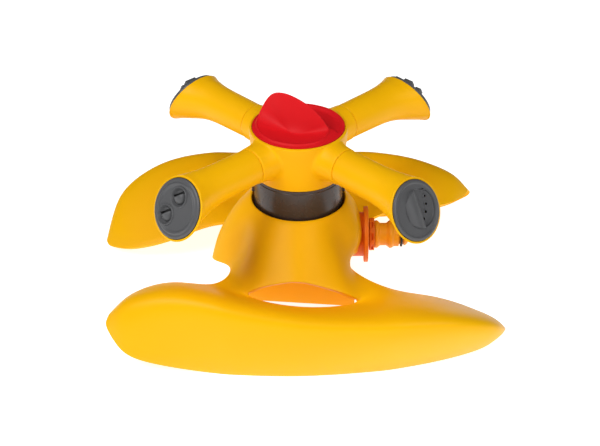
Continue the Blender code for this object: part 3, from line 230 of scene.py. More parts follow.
def buildPlasticFinish():
    group = newGroup(
        "plasticFinish",
        [("Color", "NodeSocketColor", (0.8, 0.8, 0.8, 1.0)),
         ("Deep Color", "NodeSocketColor", (0.5, 0.5, 0.5, 1.0)),
         ("Roughness", "NodeSocketFloat", 0.4), ("Grain Scale", "NodeSocketFloat", 2600.0),
         ("Grain Height", "NodeSocketFloat", 0.00002), ("Scuffs", "NodeSocketFloat", 0.3),
         ("Dust", "NodeSocketFloat", 0.1)],
        [("Color", "NodeSocketColor"), ("Roughness", "NodeSocketFloat"), ("Normal", "NodeSocketVector")],
    )
    enter = addNode(group, "NodeGroupInput", -1200, 0)
    leave = addNode(group, "NodeGroupOutput", 900, 0)
    place = addNode(group, "ShaderNodeTexCoord", -1200, -300)

    # Slow change of shade, as pigment settles in a moulding
    cloud = addNode(group, "ShaderNodeTexNoise", -900, 200, {"Scale": 26.0, "Detail": 3.0})
    cloudRange = addNode(group, "ShaderNodeMapRange", -700, 200,
                         {"From Min": 0.35, "From Max": 0.75, "To Max": 0.22})
    tint = addNode(group, "ShaderNodeMix", -450, 250, data_type="RGBA")
    wire(group, (place, "Object", cloud, "Vector"), (cloud, "Fac", cloudRange, "Value"),
         (cloudRange, "Result", tint, "Factor"), (enter, "Color", tint, "A"),
         (enter, "Deep Color", tint, "B"))

    # Fine scuffs, long and thin
    stretch = addNode(group, "ShaderNodeMapping", -1000, -150,
                      {"Scale": (1.0, 9.0, 5.0), "Rotation": (0.2, 0.5, 0.6)})
    scuff = addNode(group, "ShaderNodeTexNoise", -800, -150, {"Scale": 95.0, "Detail": 6.0, "Roughness": 0.7})
    scuffRange = addNode(group, "ShaderNodeMapRange", -600, -150, {"From Min": 0.60, "From Max": 0.74})
    scuffAmount = addNode(group, "ShaderNodeMath", -400, -150, operation="MULTIPLY")
    wire(group, (place, "Object", stretch, "Vector"), (stretch, "Vector", scuff, "Vector"),
         (scuff, "Fac", scuffRange, "Value"), (scuffRange, "Result", scuffAmount, 0),
         (enter, "Scuffs", scuffAmount, 1))

    # A little dust near the ground
    split = addNode(group, "ShaderNodeSeparateXYZ", -1000, -450)
    low = addNode(group, "ShaderNodeMapRange", -800, -450, {"From Min": 0.016, "From Max": 0.0})
    speck = addNode(group, "ShaderNodeTexNoise", -800, -700, {"Scale": 210.0, "Detail": 5.0})
    dustMask = addNode(group, "ShaderNodeMath", -600, -500, operation="MULTIPLY")
    dustAmount = addNode(group, "ShaderNodeMath", -400, -500, operation="MULTIPLY")
    dusty = addNode(group, "ShaderNodeMix", -150, 150, {"B": (0.42, 0.36, 0.27, 1.0)}, data_type="RGBA")
    wire(group, (place, "Object", split, "Vector"), (split, "Z", low, "Value"),
         (place, "Object", speck, "Vector"), (low, "Result", dustMask, 0), (speck, "Fac", dustMask, 1),
         (dustMask, "Value", dustAmount, 0), (enter, "Dust", dustAmount, 1),
         (dustAmount, "Value", dusty, "Factor"), (tint, "Result", dusty, "A"))

    # Painted shade: faces marked in the mesh as deep in slots and holes are painted nearly black, for the
    # shade that falls in them
    pocketShade = addNode(group, "ShaderNodeAttribute", -150, 450, attribute_name="pocketShade")
    shaded = addNode(group, "ShaderNodeMix", 100, 250, {"B": (0.006, 0.006, 0.006, 1.0)}, data_type="RGBA")
    wire(group, (pocketShade, "Fac", shaded, "Factor"), (dusty, "Result", shaded, "A"))

    # Gloss that wanders a little, duller where scuffed
    mottle = addNode(group, "ShaderNodeTexNoise", -800, -950, {"Scale": 60.0, "Detail": 4.0})
    mottleRange = addNode(group, "ShaderNodeMapRange", -600, -900, {"To Min": -0.05, "To Max": 0.07})
    sumGloss = addNode(group, "ShaderNodeMath", -200, -250, operation="ADD")
    scuffGloss = addNode(group, "ShaderNodeMath", 0, -250, {1: 0.22}, operation="MULTIPLY_ADD")
    wire(group, (place, "Object", mottle, "Vector"), (mottle, "Fac", mottleRange, "Value"),
         (enter, "Roughness", sumGloss, 0), (mottleRange, "Result", sumGloss, 1),
         (scuffAmount, "Value", scuffGloss, 0), (sumGloss, "Value", scuffGloss, 2))

    # Spark-eroded grain of the mould, with slow waves under it
    grain = addNode(group, "ShaderNodeTexNoise", -200, -600, {"Detail": 2.0})
    wave = addNode(group, "ShaderNodeTexNoise", -200, -850, {"Scale": 55.0, "Detail": 1.0})
    waveBump = addNode(group, "ShaderNodeBump", 300, -700, {"Distance": 0.00025, "Strength": 0.30})
    grainBump = addNode(group, "ShaderNodeBump", 550, -500, {"Strength": 0.6})
    wire(group, (place, "Object", grain, "Vector"), (enter, "Grain Scale", grain, "Scale"),
         (place, "Object", wave, "Vector"), (wave, "Fac", waveBump, "Height"),
         (enter, "Grain Height", grainBump, "Distance"), (grain, "Fac", grainBump, "Height"),
         (waveBump, "Normal", grainBump, "Normal"))

    wire(group, (shaded, "Result", leave, "Color"), (scuffGloss, "Value", leave, "Roughness"),
         (grainBump, "Normal", leave, "Normal"))
    return group


plasticFinish = buildPlasticFinish()


def plasticMaterial(name, settings):
    material = bpy.data.materials.new(name)
    material.use_nodes = True
    tree = material.node_tree
    shader = tree.nodes["Principled BSDF"]
    finish = addNode(tree, "ShaderNodeGroup", -350, 0, node_tree=plasticFinish)
    finish.inputs["Color"].default_value = (*settings["color"], 1.0)
    finish.inputs["Deep Color"].default_value = (*settings["deepColor"], 1.0)
    for label, key in (("Roughness", "roughness"), ("Grain Scale", "grainScale"),
                       ("Grain Height", "grainHeight"), ("Scuffs", "scuffs"), ("Dust", "dust")):
        finish.inputs[label].default_value = settings[key]
    wire(tree, (finish, "Color", shader, "Base Color"), (finish, "Roughness", shader, "Roughness"),
         (finish, "Normal", shader, "Normal"))
    shader.inputs["IOR"].default_value = 1.49
    shader.inputs["Specular IOR Level"].default_value = settings.get("specular", 0.5)
    shader.inputs["Coat Weight"].default_value = settings.get("coat", 0.0)
    shader.inputs["Coat Roughness"].default_value = settings.get("coatRoughness", 0.1)
    shader.inputs["Metallic"].default_value = settings.get("metallic", 0.0)
    return material


# One finish for each slot of the part
finishes = {
    "yellow": plasticMaterial("yellowPlastic", {
        "color": (0.95, 0.490, 0.002), "deepColor": (0.94, 0.440, 0.002), "roughness": 0.38,
        "grainScale": 2400.0, "grainHeight": 0.000012, "scuffs": 0.35, "dust": 0.10, "specular": 0.12}),
    # the pipe cover's yellow: the base yellow made a little darker and more orange, painted shade for a wall
    # that stands in shade under the turret
    "inner_yellow": plasticMaterial("innerYellowShadedPlastic", {
        "color": (0.93, 0.46, 0.003), "deepColor": (0.91, 0.42, 0.002), "roughness": 0.50,
        "grainScale": 1900.0, "grainHeight": 0.000020, "scuffs": 0.30, "dust": 0.15, "specular": 0.15}),
    "orange": plasticMaterial("orangePlastic", {
        "color": (0.90, 0.20, 0.010), "deepColor": (0.82, 0.15, 0.008), "roughness": 0.38,
        "grainScale": 2600.0, "grainHeight": 0.000010, "scuffs": 0.30, "dust": 0.0, "specular": 0.30}),
    "amber": plasticMaterial("amberPlastic", {
        "color": (0.95, 0.36, 0.008), "deepColor": (0.90, 0.30, 0.006), "roughness": 0.38,
        "grainScale": 2600.0, "grainHeight": 0.000010, "scuffs": 0.30, "dust": 0.0, "specular": 0.30}),
    "grey": plasticMaterial("greyPlastic", {
        "color": (0.092, 0.093, 0.097), "deepColor": (0.070, 0.071, 0.075), "roughness": 0.40,
        "grainScale": 2100.0, "grainHeight": 0.000018, "scuffs": 0.45, "dust": 0.0, "specular": 0.38}),
    "dark": plasticMaterial("darkGlossPlastic", {
        "color": (0.052, 0.036, 0.029), "deepColor": (0.038, 0.026, 0.021), "roughness": 0.26,
        "grainScale": 900.0, "grainHeight": 0.000003, "scuffs": 0.30, "dust": 0.0, "specular": 0.34,
        "coat": 0.08, "coatRoughness": 0.12}),
    "red": plasticMaterial("redPlastic", {
        "color": (0.72, 0.008, 0.013), "deepColor": (0.66, 0.007, 0.011), "roughness": 0.54,
        "grainScale": 2500.0, "grainHeight": 0.000014, "scuffs": 0.40, "dust": 0.0, "specular": 0.16}),
    "natural": plasticMaterial("naturalPlastic", {
        "color": (0.72, 0.70, 0.64), "deepColor": (0.62, 0.60, 0.54), "roughness": 0.42,
        "grainScale": 2100.0, "grainHeight": 0.000012, "scuffs": 0.30, "dust": 0.0}),
    "rubber": plasticMaterial("blackRubber", {
        "color": (0.018, 0.018, 0.019), "deepColor": (0.030, 0.029, 0.028), "roughness": 0.62,
        "grainScale": 1500.0, "grainHeight": 0.000030, "scuffs": 0.50, "dust": 0.0}),
    "steel": plasticMaterial("brightSteel", {
        "color": (0.62, 0.62, 0.63), "deepColor": (0.52, 0.52, 0.54), "roughness": 0.28,
        "grainScale": 3000.0, "grainHeight": 0.000006, "scuffs": 0.60, "dust": 0.0, "metallic": 1.0}),
}
for subpart in frame["record"]["subparts"]:
    node = frame["nodes"][subpart["node"]]
    node.data.materials.clear()
    node.data.materials.append(finishes[subpart["material_slot"]])
print("materials ready")


def finishPiece(piece, body, slotName, *replaced):
    piece.data.materials.clear()
    piece.data.materials.append(finishes[slotName])
    if replaced:
        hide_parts(*replaced)
    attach(piece, body)


# Cutters reach this far past the face they open
overcut = 0.001

# Base shell: turret, legs and two swept wings
base = {
    "mouthRadius": 0.0331,
    "mouthHeight": 0.0810,
    "rimWidth": 0.0022,
    "rimDrop": 0.0012,
    "rimRound": 0.0008,
    "rimShare": 0.3,
    "cupFloor": 0.0660,
    "cupCorner": 0.0040,
    "boreRadius": 0.0056,
    "wall": 0.0028,
    "tipWall": 0.0010,
    "columns": 24,
    "valleyDepth": 0.0090,
    "valleyColumns": ((2.0, 1.0), (8.9, 0.95)),
    "flankColumns": {9: 0.0540, 10: 0.0585},
    "valleySpread": 1.3,
    # the shoulder's reach past the mouth, and more at the sides and in front
    "shoulderReach": (0.0108, 0.0040, 0.0015),
    "shoulderDrop": 0.0105,
    "shoulderValley": 0.55,
    # the flank lies between shoulder and skirt
    "flankOut": (0.42, 0.58),
    "flankHeight": (0.48, 0.52),
    "flankLift": 0.0010,
    "frontDip": 0.0020,
    "flatBack": (0.0045, 0.0003),
    "skirtBack": 0.0010,
    "skirtNudge": -0.0020,
    "inletReach": 0.0470,
    "inletEdge": 0.0430,
    "sheetCrown": 0.0025,
    "wallBulge": 0.0040,
    "taperWidth": 0.03,
    "outwardTurn": 1.6,
    "edgeRound": 0.0007,
    "smoothLevels": 3,
    "spigotHole": 0.0163,
    "holeSpan": (0.0310, 0.0520),
    "inletHeight": 0.0482,
    "places": (0, 0.5, 1, 2, 3.0, 3.35, 3.7, 5, 6.3, 6.65, 7, 8, 9, 9.5, 10),
    "legJoins": ((2, 4), (8, 8)),
    # stations along each wing, from the raised tip to the low one
    "wingInner": ((-0.1275, -0.0770, 0.0340), (-0.1110, -0.0560, 0.0390), (-0.0860, -0.0465, 0.0405),
                  (-0.0565, -0.0510, 0.0350), (-0.0350, -0.0670, 0.0370), (0.0040, -0.0710, 0.0305),
                  (0.0420, -0.0680, 0.0310), (0.0640, -0.0480, 0.0305), (0.0950, -0.0355, 0.0200),
                  (0.1240, -0.0385, 0.0108), (0.1450, -0.0525, 0.0040)),
    "wingCrest": ((-0.1300, -0.0830, 0.0360), (-0.1155, -0.0905, 0.0535), (-0.0875, -0.0985, 0.0650),
                  (-0.0590, -0.1080, 0.0650), (-0.0370, -0.1140, 0.0605), (0.0040, -0.1205, 0.0555),
                  (0.0460, -0.1225, 0.0555), (0.0720, -0.1220, 0.0575), (0.1060, -0.1165, 0.0555),
                  (0.1360, -0.0980, 0.0390), (0.1462, -0.0590, 0.0072)),
    "wingFoot": ((-0.1325, -0.0880, 0.0290), (-0.1160, -0.1020, 0.0115), (-0.0850, -0.1010, 0.0030),
                 (-0.0590, -0.1025, 0.0000), (-0.0370, -0.1055, 0.0000), (0.0040, -0.1075, 0.0000),
                 (0.0460, -0.1020, 0.0000), (0.0690, -0.0975, 0.0000), (0.0990, -0.0895, 0.0005),
                 (0.1295, -0.0775, 0.0020), (0.1455, -0.0565, 0.0030)),
    "skirt": {0: (-0.0670, 0.0000, 0.0285), 2: (-0.0445, -0.0240, 0.0355), 3: (-0.0460, -0.0440, 0.0385),
              4: (-0.0290, -0.0640, 0.0450), 6: (0.0000, -0.0670, 0.0530), 8: (0.0335, -0.0668, 0.0420),
              9: (0.0375, -0.0470, 0.0405), 10: (0.0275, -0.0290, 0.0415)},
}


def alongAxisX(height):
    return Matrix.Translation((0, 0, height)) @ Matrix.Rotation(math.pi / 2, 4, "Y")


def halfTurn(point):
    return Vector((-point.x, -point.y, point.z))


def polarPoint(radius, column, height):
    angle = math.pi + math.tau * column / base["columns"]
    return Vector((radius * math.cos(angle), radius * math.sin(angle), height))


def skirtRing():
    half = base["columns"] // 2
    known = {column: Vector(point) for column, point in base["skirt"].items()}
    known[half] = halfTurn(known[0])
    ring = []
    for column in range(half):
        ring.append(known[column] if column in known else (known[column - 1] + known[column + 1]) / 2)
    ring[1] += Vector((base["skirtNudge"], 0, 0))
    ring += [halfTurn(point) for point in ring]
    for column in (half - 1, half, half + 1):
        ring[column].x = min(ring[column].x, base["inletReach"] - base["skirtBack"])
        ring[column].z = base["inletEdge"]
    return ring


def turretRings():
    columns = base["columns"]
    half = columns // 2
    mouth, top, floor, corner = base["mouthRadius"], base["mouthHeight"], base["cupFloor"], base["cupCorner"]
    rings = []
    for radius, height in ((base["boreRadius"], floor), (mouth - corner, floor), (mouth, floor + corner),
                           (mouth, top - base["rimDrop"]),
                           (mouth + base["rimWidth"] - base["rimRound"], top)):
        rings.append([polarPoint(radius, column, height) for column in range(columns)])
    skirt = skirtRing()
    shoulder, flank = [], []
    high = top - base["shoulderDrop"]
    past, sidePast, frontPast = base["shoulderReach"]
    for column in range(columns):
        angle = math.pi + math.tau * column / columns
        side, front = math.cos(angle) ** 4, math.sin(angle) ** 4
        edge = skirt[column]
        reach = mouth + past + sidePast * side + frontPast * front
        out = Vector((edge.x, edge.y, 0)).length
        belly = base["flankOut"][0] * reach + base["flankOut"][1] * out + sidePast * side
        valley = 0.0
        for centre, share in base["valleyColumns"]:
            away = (column - centre + half / 2) % half - half / 2
            valley += base["valleyDepth"] * share * math.exp(-(away / base["valleySpread"]) ** 2)
        belly = base["flankColumns"].get(column, belly)
        middle = base["flankHeight"][0] * high + base["flankHeight"][1] * edge.z
        height = middle + base["flankLift"] - base["frontDip"] * front
        shoulder.append(polarPoint(reach - base["shoulderValley"] * valley, column, high))
        flank.append(polarPoint(belly - valley, column, height))
    for ring, back, first in zip((shoulder, flank), base["flatBack"], (half - 2, half - 1)):
        for column in range(first, half + 3):
            ring[column].x = min(ring[column].x, base["inletReach"] - back)
    return rings + [shoulder, flank, skirt]


screws = {
    "count": 4,
    "circle": 0.0145,
    "hole": 0.0019,
    "sides": 20,
}


def screwHoles(low, high):
    bm = bmesh.new()
    for i in range(screws["count"]):
        angle = math.tau * (i + 0.5) / screws["count"]
        x, y = screws["circle"] * math.cos(angle), screws["circle"] * math.sin(angle)
        bmesh.ops.create_cone(bm, cap_ends=True, segments=screws["sides"], radius1=screws["hole"],
                              radius2=screws["hole"], depth=high - low,
                              matrix=Matrix.Translation((x, y, (low + high) / 2)))
    return makeObject("screwHoles", meshOf(bm, "screwHoles"))


def buildBaseShell():
    bm = bmesh.new()
    weight = bm.verts.layers.deform.verify()
    columns = base["columns"]
    half = columns // 2
    rings = [[bm.verts.new(point) for point in ring] for ring in turretRings()]
    rimWeight = base["rimShare"] * base["rimWidth"] / base["wall"]
    thin = [(vert, rimWeight) for ring in rings[3:5] for vert in ring]
    for low, high in zip(rings, rings[1:]):
        for i in range(columns):
            j = (i + 1) % columns
            bm.faces.new((low[i], high[i], high[j], low[j]))
    skirt = rings[-1]
    inner = curveThrough(base["wingInner"], base["places"])
    crest = curveThrough(base["wingCrest"], base["places"])
    foot = curveThrough(base["wingFoot"], base["places"])
    for side in (0, 1):
        wing = []
        for a, b, c in zip(inner, crest, foot):
            taper = min(1.0, (a - b).length / base["taperWidth"])
            sheet = a.lerp(b, 0.5) + Vector((0, 0, base["sheetCrown"] * taper))
            out = Vector((b.x, b.y * base["outwardTurn"], 0)).normalized()
            wall = b.lerp(c, 0.5) + out * base["wallBulge"] * taper
            section = [a, sheet, b, wall, c]
            if side:
                section = [halfTurn(point) for point in section]
            wing.append([bm.verts.new(point) for point in section])
        thin += [(vert, base["tipWall"] / base["wall"]) for vert in wing[0] + wing[-1]]
        for left, right in zip(wing, wing[1:]):
            for i in range(len(left) - 1):
                bm.faces.new((left[i], left[i + 1], right[i + 1], right[i]))
        for column, station in base["legJoins"]:
            for i in range(2):
                near = skirt[(column + i + side * half) % columns]
                far = skirt[(column + i + 1 + side * half) % columns]
                bm.faces.new((near, wing[station + i][0], wing[station + i + 1][0], far))
    for vert in bm.verts:
        vert[weight][0] = 1.0
    for vert, share in thin:
        vert[weight][0] = share
    bmesh.ops.recalc_face_normals(bm, faces=bm.faces)
    cupFloor = Vector((0, 0, base["cupFloor"]))
    nearest = min(bm.faces, key=lambda face: (face.calc_center_median() - cupFloor).length)
    if nearest.normal.z < 0:
        bmesh.ops.reverse_faces(bm, faces=bm.faces)
    shell = makeObject("baseShell", meshOf(bm, "baseShell"))
    shell.vertex_groups.new(name="wall")
    smooth = shell.modifiers.new("smooth", "SUBSURF")
    smooth.levels = base["smoothLevels"]
    smooth.render_levels = base["smoothLevels"]
    wall = shell.modifiers.new("wall", "SOLIDIFY")
    wall.thickness = base["wall"]
    wall.offset = -1
    wall.use_even_offset = True
    wall.vertex_group = "wall"
    hole = makeObject("spigotHole", rodMesh("spigotHole", base["spigotHole"], *base["holeSpan"], 64),
                      alongAxisX(base["inletHeight"]))
    addBoolean(shell, hole)
    floorHoles = screwHoles(base["cupFloor"] - base["wall"] - overcut, base["cupFloor"] + overcut)
    addBoolean(shell, floorHoles)
    addBevel(shell, base["edgeRound"], 2, 60)
    settleModifiers(shell, 35)
    dropObjects(hole, floorHoles)
    return shell


baseShell = buildBaseShell()
finishPiece(baseShell, "base", "yellow", "base_shell")
print("base shell made", len(baseShell.data.polygons))

# Rotor: hub with four stubs, open at the top for the knob
rotor = {
    "turn": math.radians(-0.8),
    "armHeight": 0.1228,
    "armCount": 4,
    "firstArm": math.radians(225.0),
}
hub = {
    "steps": 128,
    "foot": 0.1024,
    "top": 0.1372,
    "footRadius": 0.0319,
    "topRadius": 0.0344,
    "wall": 0.0026,
    "knobRecess": 0.0326,
    "seat": 0.1349,
    "stubRadius": 0.0132,
    "stubStart": 0.0262,
    "stubEnd": 0.0455,
    "stubSteps": 22,
    "stubSides": 72,
    "flare": 0.0016,
    "flarePower": 2.0,
    "flareLimit": 1.3,
    "headroom": 0.0139,
    "softness": 0.0012,
    "bore": 0.0100,
    "endRound": 0.0006,
    "endShare": 0.3,
    "topBand": 0.0030,
    "rounds": (0, 0.0007, 0.0060, 0.0009, 0),
    # the shelf that carries the knob, and the chamfer over it
    "shelf": 0.0030,
    "shelfWall": 0.0020,
    "shelfFoot": 0.0044,
    "footStep": (0.0012, -0.0040),
    "chamfer": ((0, -0.0003), (0.0004, 0.0001), (0.0004, overcut)),
    "boreBack": 0.002,
    # voxel size, and how far and how strongly the corner is melted
    "grain": 0.0006,
    "filletBand": 0.0052,
    "filletGain": 1.6,
    "filletRounds": 70,
    "calmTop": 0.0012,
    "calmBand": 0.0015,
}


def armTurn(i):
    return rotor["turn"] + rotor["firstArm"] + math.tau * i / rotor["armCount"]


def aroundAxis(angle, height=0.0):
    return Matrix.Rotation(angle, 4, "Z") @ Matrix.Translation((0, 0, height))


def softLimit(value, limit, soft):
    over = value - limit + soft
    if over <= 0:
        return value
    if over < 2 * soft:
        return value - over * over / (4 * soft)
    return limit


def stubRing(x, radius):
    ring = []
    for k in range(hub["stubSides"]):
        turn = math.tau * k / hub["stubSides"]
        height = softLimit(radius * math.cos(turn), hub["headroom"], hub["softness"])
        ring.append(Vector((x, radius * math.sin(turn), height)))
    return ring


def cornerWeight(place):
    # 1 in the corner between the hub's side and a stub, 0 away from it and at the top
    slope = (hub["topRadius"] - hub["footRadius"]) / (hub["top"] - hub["foot"])
    fromSide = math.hypot(place.x, place.y) - (hub["footRadius"] + slope * (place.z - hub["foot"]))
    fromStub = 1.0
    for i in range(rotor["armCount"]):
        direction = Vector((math.cos(armTurn(i)), math.sin(armTurn(i)), 0))
        if place.dot(direction) > 0:
            aside = Vector((0, place.cross(direction).z, place.z - rotor["armHeight"]))
            fromStub = min(fromStub, abs(aside.length - hub["stubRadius"]))
    weight = 1.0 - math.hypot(fromSide, fromStub) / hub["filletBand"]
    return min(weight * hub["filletGain"], (hub["top"] - hub["calmTop"] - place.z) / hub["calmBand"], 1.0)


def softenRoots(body):
    # an even skin, then the corner between hub and stubs is melted into a fillet
    skin = body.modifiers.new("skin", "REMESH")
    skin.mode = "VOXEL"
    skin.voxel_size = hub["grain"]
    settleModifiers(body)
    group = body.vertex_groups.new(name="corner")
    for vert in body.data.vertices:
        weight = cornerWeight(vert.co)
        if weight > 0:
            group.add([vert.index], weight, "REPLACE")
    melt = body.modifiers.new("melt", "SMOOTH")
    melt.factor = 0.5
    melt.iterations = hub["filletRounds"]
    melt.vertex_group = "corner"
    even = body.modifiers.new("even", "SMOOTH")
    even.factor = 0.5
    even.iterations = 2
    settleModifiers(body)


def buildHub():
    foot, top, seat, end = hub["foot"], hub["top"], hub["seat"], hub["stubEnd"]
    inFoot = hub["footRadius"] - hub["wall"]
    inTop = hub["topRadius"] - hub["wall"]
    outside = [(0, foot), (hub["footRadius"], foot), (hub["topRadius"], top - hub["topBand"]),
               (hub["topRadius"], top), (0, top)]
    outside = roundedProfile(outside, hub["rounds"], 5)
    body = makeObject("rotorHub", turnedMesh("rotorHub", outside, hub["steps"]))
    stubLength = end - hub["endRound"] - hub["stubStart"]
    for i in range(rotor["armCount"]):
        rings = []
        for s in range(hub["stubSteps"] + 1):
            x = hub["stubStart"] + stubLength * s / hub["stubSteps"]
            share = min(max(0.0, (end - x) / (end - hub["footRadius"])), hub["flareLimit"])
            rings.append(stubRing(x, hub["stubRadius"] + hub["flare"] * share ** hub["flarePower"]))
        for back, inset in ((hub["endShare"], hub["endShare"]), (0.0, 1.0)):
            rings.append(stubRing(end - hub["endRound"] * back, hub["stubRadius"] - hub["endRound"] * inset))
        stub = makeObject("hubStub", loftRings("hubStub", rings), aroundAxis(armTurn(i), rotor["armHeight"]))
        shapeWith(body, stub, "UNION", 40)
    softenRoots(body)
    shelf = inTop - hub["shelf"]
    inside = [(0, foot - overcut), (inFoot, foot - overcut), (inFoot, foot)]
    inside += moved([hub["footStep"]], inFoot, rotor["armHeight"])
    inside += [(inTop, seat - hub["shelfFoot"]), (shelf, seat - hub["shelfWall"]), (shelf, seat),
               (hub["knobRecess"], seat)]
    inside += moved(hub["chamfer"], hub["knobRecess"], top) + [(0, top + overcut)]
    shapeWith(body, makeObject("hubCavity", turnedMesh("hubCavity", inside, hub["steps"])), "DIFFERENCE", 40)
    for i in range(rotor["armCount"]):
        bore = rodMesh("stubBore", hub["bore"], hub["stubStart"] - hub["boreBack"], end + overcut, 48)
        shapeWith(body, makeObject("stubBore", bore, Matrix.Rotation(armTurn(i), 4, "Z")
                                   @ alongAxisX(rotor["armHeight"])))
    return body


rotorHub = buildHub()
finishPiece(rotorHub, "rotor", "yellow", "rotor_hub")
print("hub made")

# Arms: straight tubes that flare into tilted bell mouths
arm = {
    "sides": 72,
    "rings": 46,
    "root": 0.0457,
    "cadRoot": 0.0433,
    "reach": 0.1120,
    "drop": 0.0051,
    "tilt": math.radians(27.0),
    "radius": 0.0127,
    "bore": 0.0100,
    "bellRadius": 0.0222,
    "lipRound": 0.0006,
    "lipShare": 0.3,
    "mouth": 0.0208,
    "mouthEdge": 0.0003,
    "rootRound": 0.0005,
    "rootShift": (-0.00005, 0.0003),
    "seatDepth": 0.0019,
    "ringBore": 0.0172,
    "ringDepth": 0.0038,
    "ringSeatBore": 0.0132,
    "lastSpan": 0.12,
    "borePlaces": [4.0 - 0.25 * step for step in range(13)] + [0.5],
    # share of length, drop, flare and tilt
    "flare": ((0.00, 0.00, 0.00, 0.00), (0.24, 0.005, 0.022, 0.00), (0.48, 0.02, 0.05, 0.00),
              (0.62, 0.08, 0.12, 0.12), (0.74, 0.25, 0.29, 0.36), (0.86, 0.60, 0.58, 0.70),
              (1.00, 1.00, 1.00, 1.00)),
}


def armRing(x, z, radius, tilt):
    up = Vector((-math.sin(tilt), 0, math.cos(tilt)))
    side = Vector((0, 1, 0))
    centre = Vector((x, 0, z))
    turns = [math.tau * k / arm["sides"] for k in range(arm["sides"])]
    return [centre + radius * (math.cos(turn) * up + math.sin(turn) * side) for turn in turns]


def mouthRing(depth, radius):
    return armRing(arm["reach"] - depth * math.cos(arm["tilt"]), -arm["drop"] - depth * math.sin(arm["tilt"]),
                   radius, arm["tilt"])


def armShape(along, drop, grow, turn, narrow, wide):
    return armRing(arm["cadRoot"] + (arm["reach"] - arm["cadRoot"]) * along, -arm["drop"] * drop,
                   narrow + (wide - narrow) * grow, arm["tilt"] * turn)


def buildArmMesh():
    first = (arm["root"] - arm["cadRoot"]) / (arm["reach"] - arm["cadRoot"]) / arm["flare"][1][0]
    last = len(arm["flare"]) - 1 - arm["lastSpan"]
    places = [first + (last - first) * r / arm["rings"] for r in range(arm["rings"] + 1)]
    shares = curveThrough(arm["flare"], places)
    lip, bell, edge = arm["lipRound"], arm["bellRadius"], arm["mouthEdge"]
    start = armShape(*shares[0], arm["radius"] - arm["rootRound"], bell - arm["rootRound"])
    outer = []
    for ring, shift in zip((start, armShape(*shares[0], arm["radius"], bell)), arm["rootShift"]):
        outer.append([point + Vector((shift, 0, 0)) for point in ring])
    outer += [armShape(*share, arm["radius"], bell) for share in shares[1:]]
    inner = [mouthRing(depth, radius) for depth, radius in (
        (lip, bell), (lip * arm["lipShare"], bell - lip * arm["lipShare"]), (0.0, bell - lip),
        (0.0, arm["mouth"] + edge), (edge, arm["mouth"]), (arm["seatDepth"], arm["mouth"]),
        (arm["seatDepth"], arm["ringBore"]), (arm["ringDepth"], arm["ringBore"]),
        (arm["ringDepth"], arm["ringSeatBore"]))]
    backward = curveThrough(arm["flare"], arm["borePlaces"] + [first])
    inner += [armShape(*share, arm["bore"], arm["ringSeatBore"]) for share in backward]
    return loftRings("arm", outer + inner, closeRow=True, sharpDegrees=35)


armMesh = buildArmMesh()
for i, (name, node) in enumerate((("armFrontLeft", "arm_front_left"), ("armFrontRight", "arm_front_right"),
                                  ("armBackRight", "arm_back_right"), ("armBackLeft", "arm_back_left"))):
    piece = makeObject(name, armMesh.copy(), aroundAxis(armTurn(i), rotor["armHeight"]))
    finishPiece(piece, "rotor", "yellow", node)
print("arms made")

# Nozzle caps
cap = {
    "steps": 96,
    "radius": 0.0205,
    "base": -0.0016,
    "boss": -0.0021,
    "bossRadius": 0.0169,
    "spigotRadius": 0.0086,
    "spigotEnd": -0.0071,
    "rounds": (0, 0.0004, 0.0002, 0.0002, 0.0002, 0.0002),
    "pocketEnd": -0.0019,
    "pocketTop": 0.0040,
    "pocketInset": 0.0004,
    "pocketSkin": 0.00005,
    "slotHalf": 0.502,
    "slotDepths": (-0.0020, 0.0014),
}


def capPlace(i):
    return (Matrix.Rotation(armTurn(i), 4, "Z")
            @ Matrix.Translation((arm["reach"], 0, rotor["armHeight"] - arm["drop"]))
            @ Matrix.Rotation(math.pi / 2 - arm["tilt"], 4, "Y") @ Matrix.Rotation(math.pi / 2, 4, "Z"))


def capBlank(name, settings):
    # the crown is given by the way in from the cap's edge and the height
    spigot, boss, radius = cap["spigotRadius"], cap["bossRadius"], cap["radius"]
    profile = [(0, cap["spigotEnd"]), (spigot, cap["spigotEnd"]), (spigot, cap["boss"]), (boss, cap["boss"]),
               (boss, cap["base"]), (radius, cap["base"])]
    profile += [(radius - inset, height) for inset, height in settings["crown"]] + [(0, settings["middle"])]
    profile = roundedProfile(profile, cap["rounds"] + settings["rounds"], 4)
    return makeObject(name, turnedMesh(name, profile, cap["steps"], 35))


def roundedBlock(name, size, place, bevel=0.0005, segments=3):
    bm = bmesh.new()
    bmesh.ops.create_cube(bm, size=1, matrix=Matrix.Diagonal((*size, 1)))
    bmesh.ops.bevel(bm, geom=bm.edges[:], offset=bevel, segments=segments, affect="EDGES", profile=0.5)
    bmesh.ops.transform(bm, matrix=place, verts=bm.verts)
    return makeObject(name, meshOf(bm, name))


def markPocketShade(piece, floor, slots=()):
    # faces of slots and holes, below the face of the cap and inside its rim, are marked to take painted shade
    mark = piece.data.attributes.new("pocketShade", "FLOAT", "FACE")
    half = cap["slotHalf"]
    lowest, highest = cap["slotDepths"]
    for face in piece.data.polygons:
        x, y, z = face.center
        deep = (math.hypot(x, y) < cap["bossRadius"] - cap["pocketInset"]
                and cap["pocketEnd"] - cap["pocketSkin"] < z < floor - cap["pocketSkin"])
        for toSlot in slots:
            local = toSlot @ face.center
            deep = deep or (abs(local.x) < half and abs(local.y) < half and lowest < z < highest)
        if deep:
            mark.data[face.index].value = 1.0


def finishCap(piece, i, node):
    piece.data.transform(capPlace(i))
    finishPiece(piece, "rotor", "grey", node)


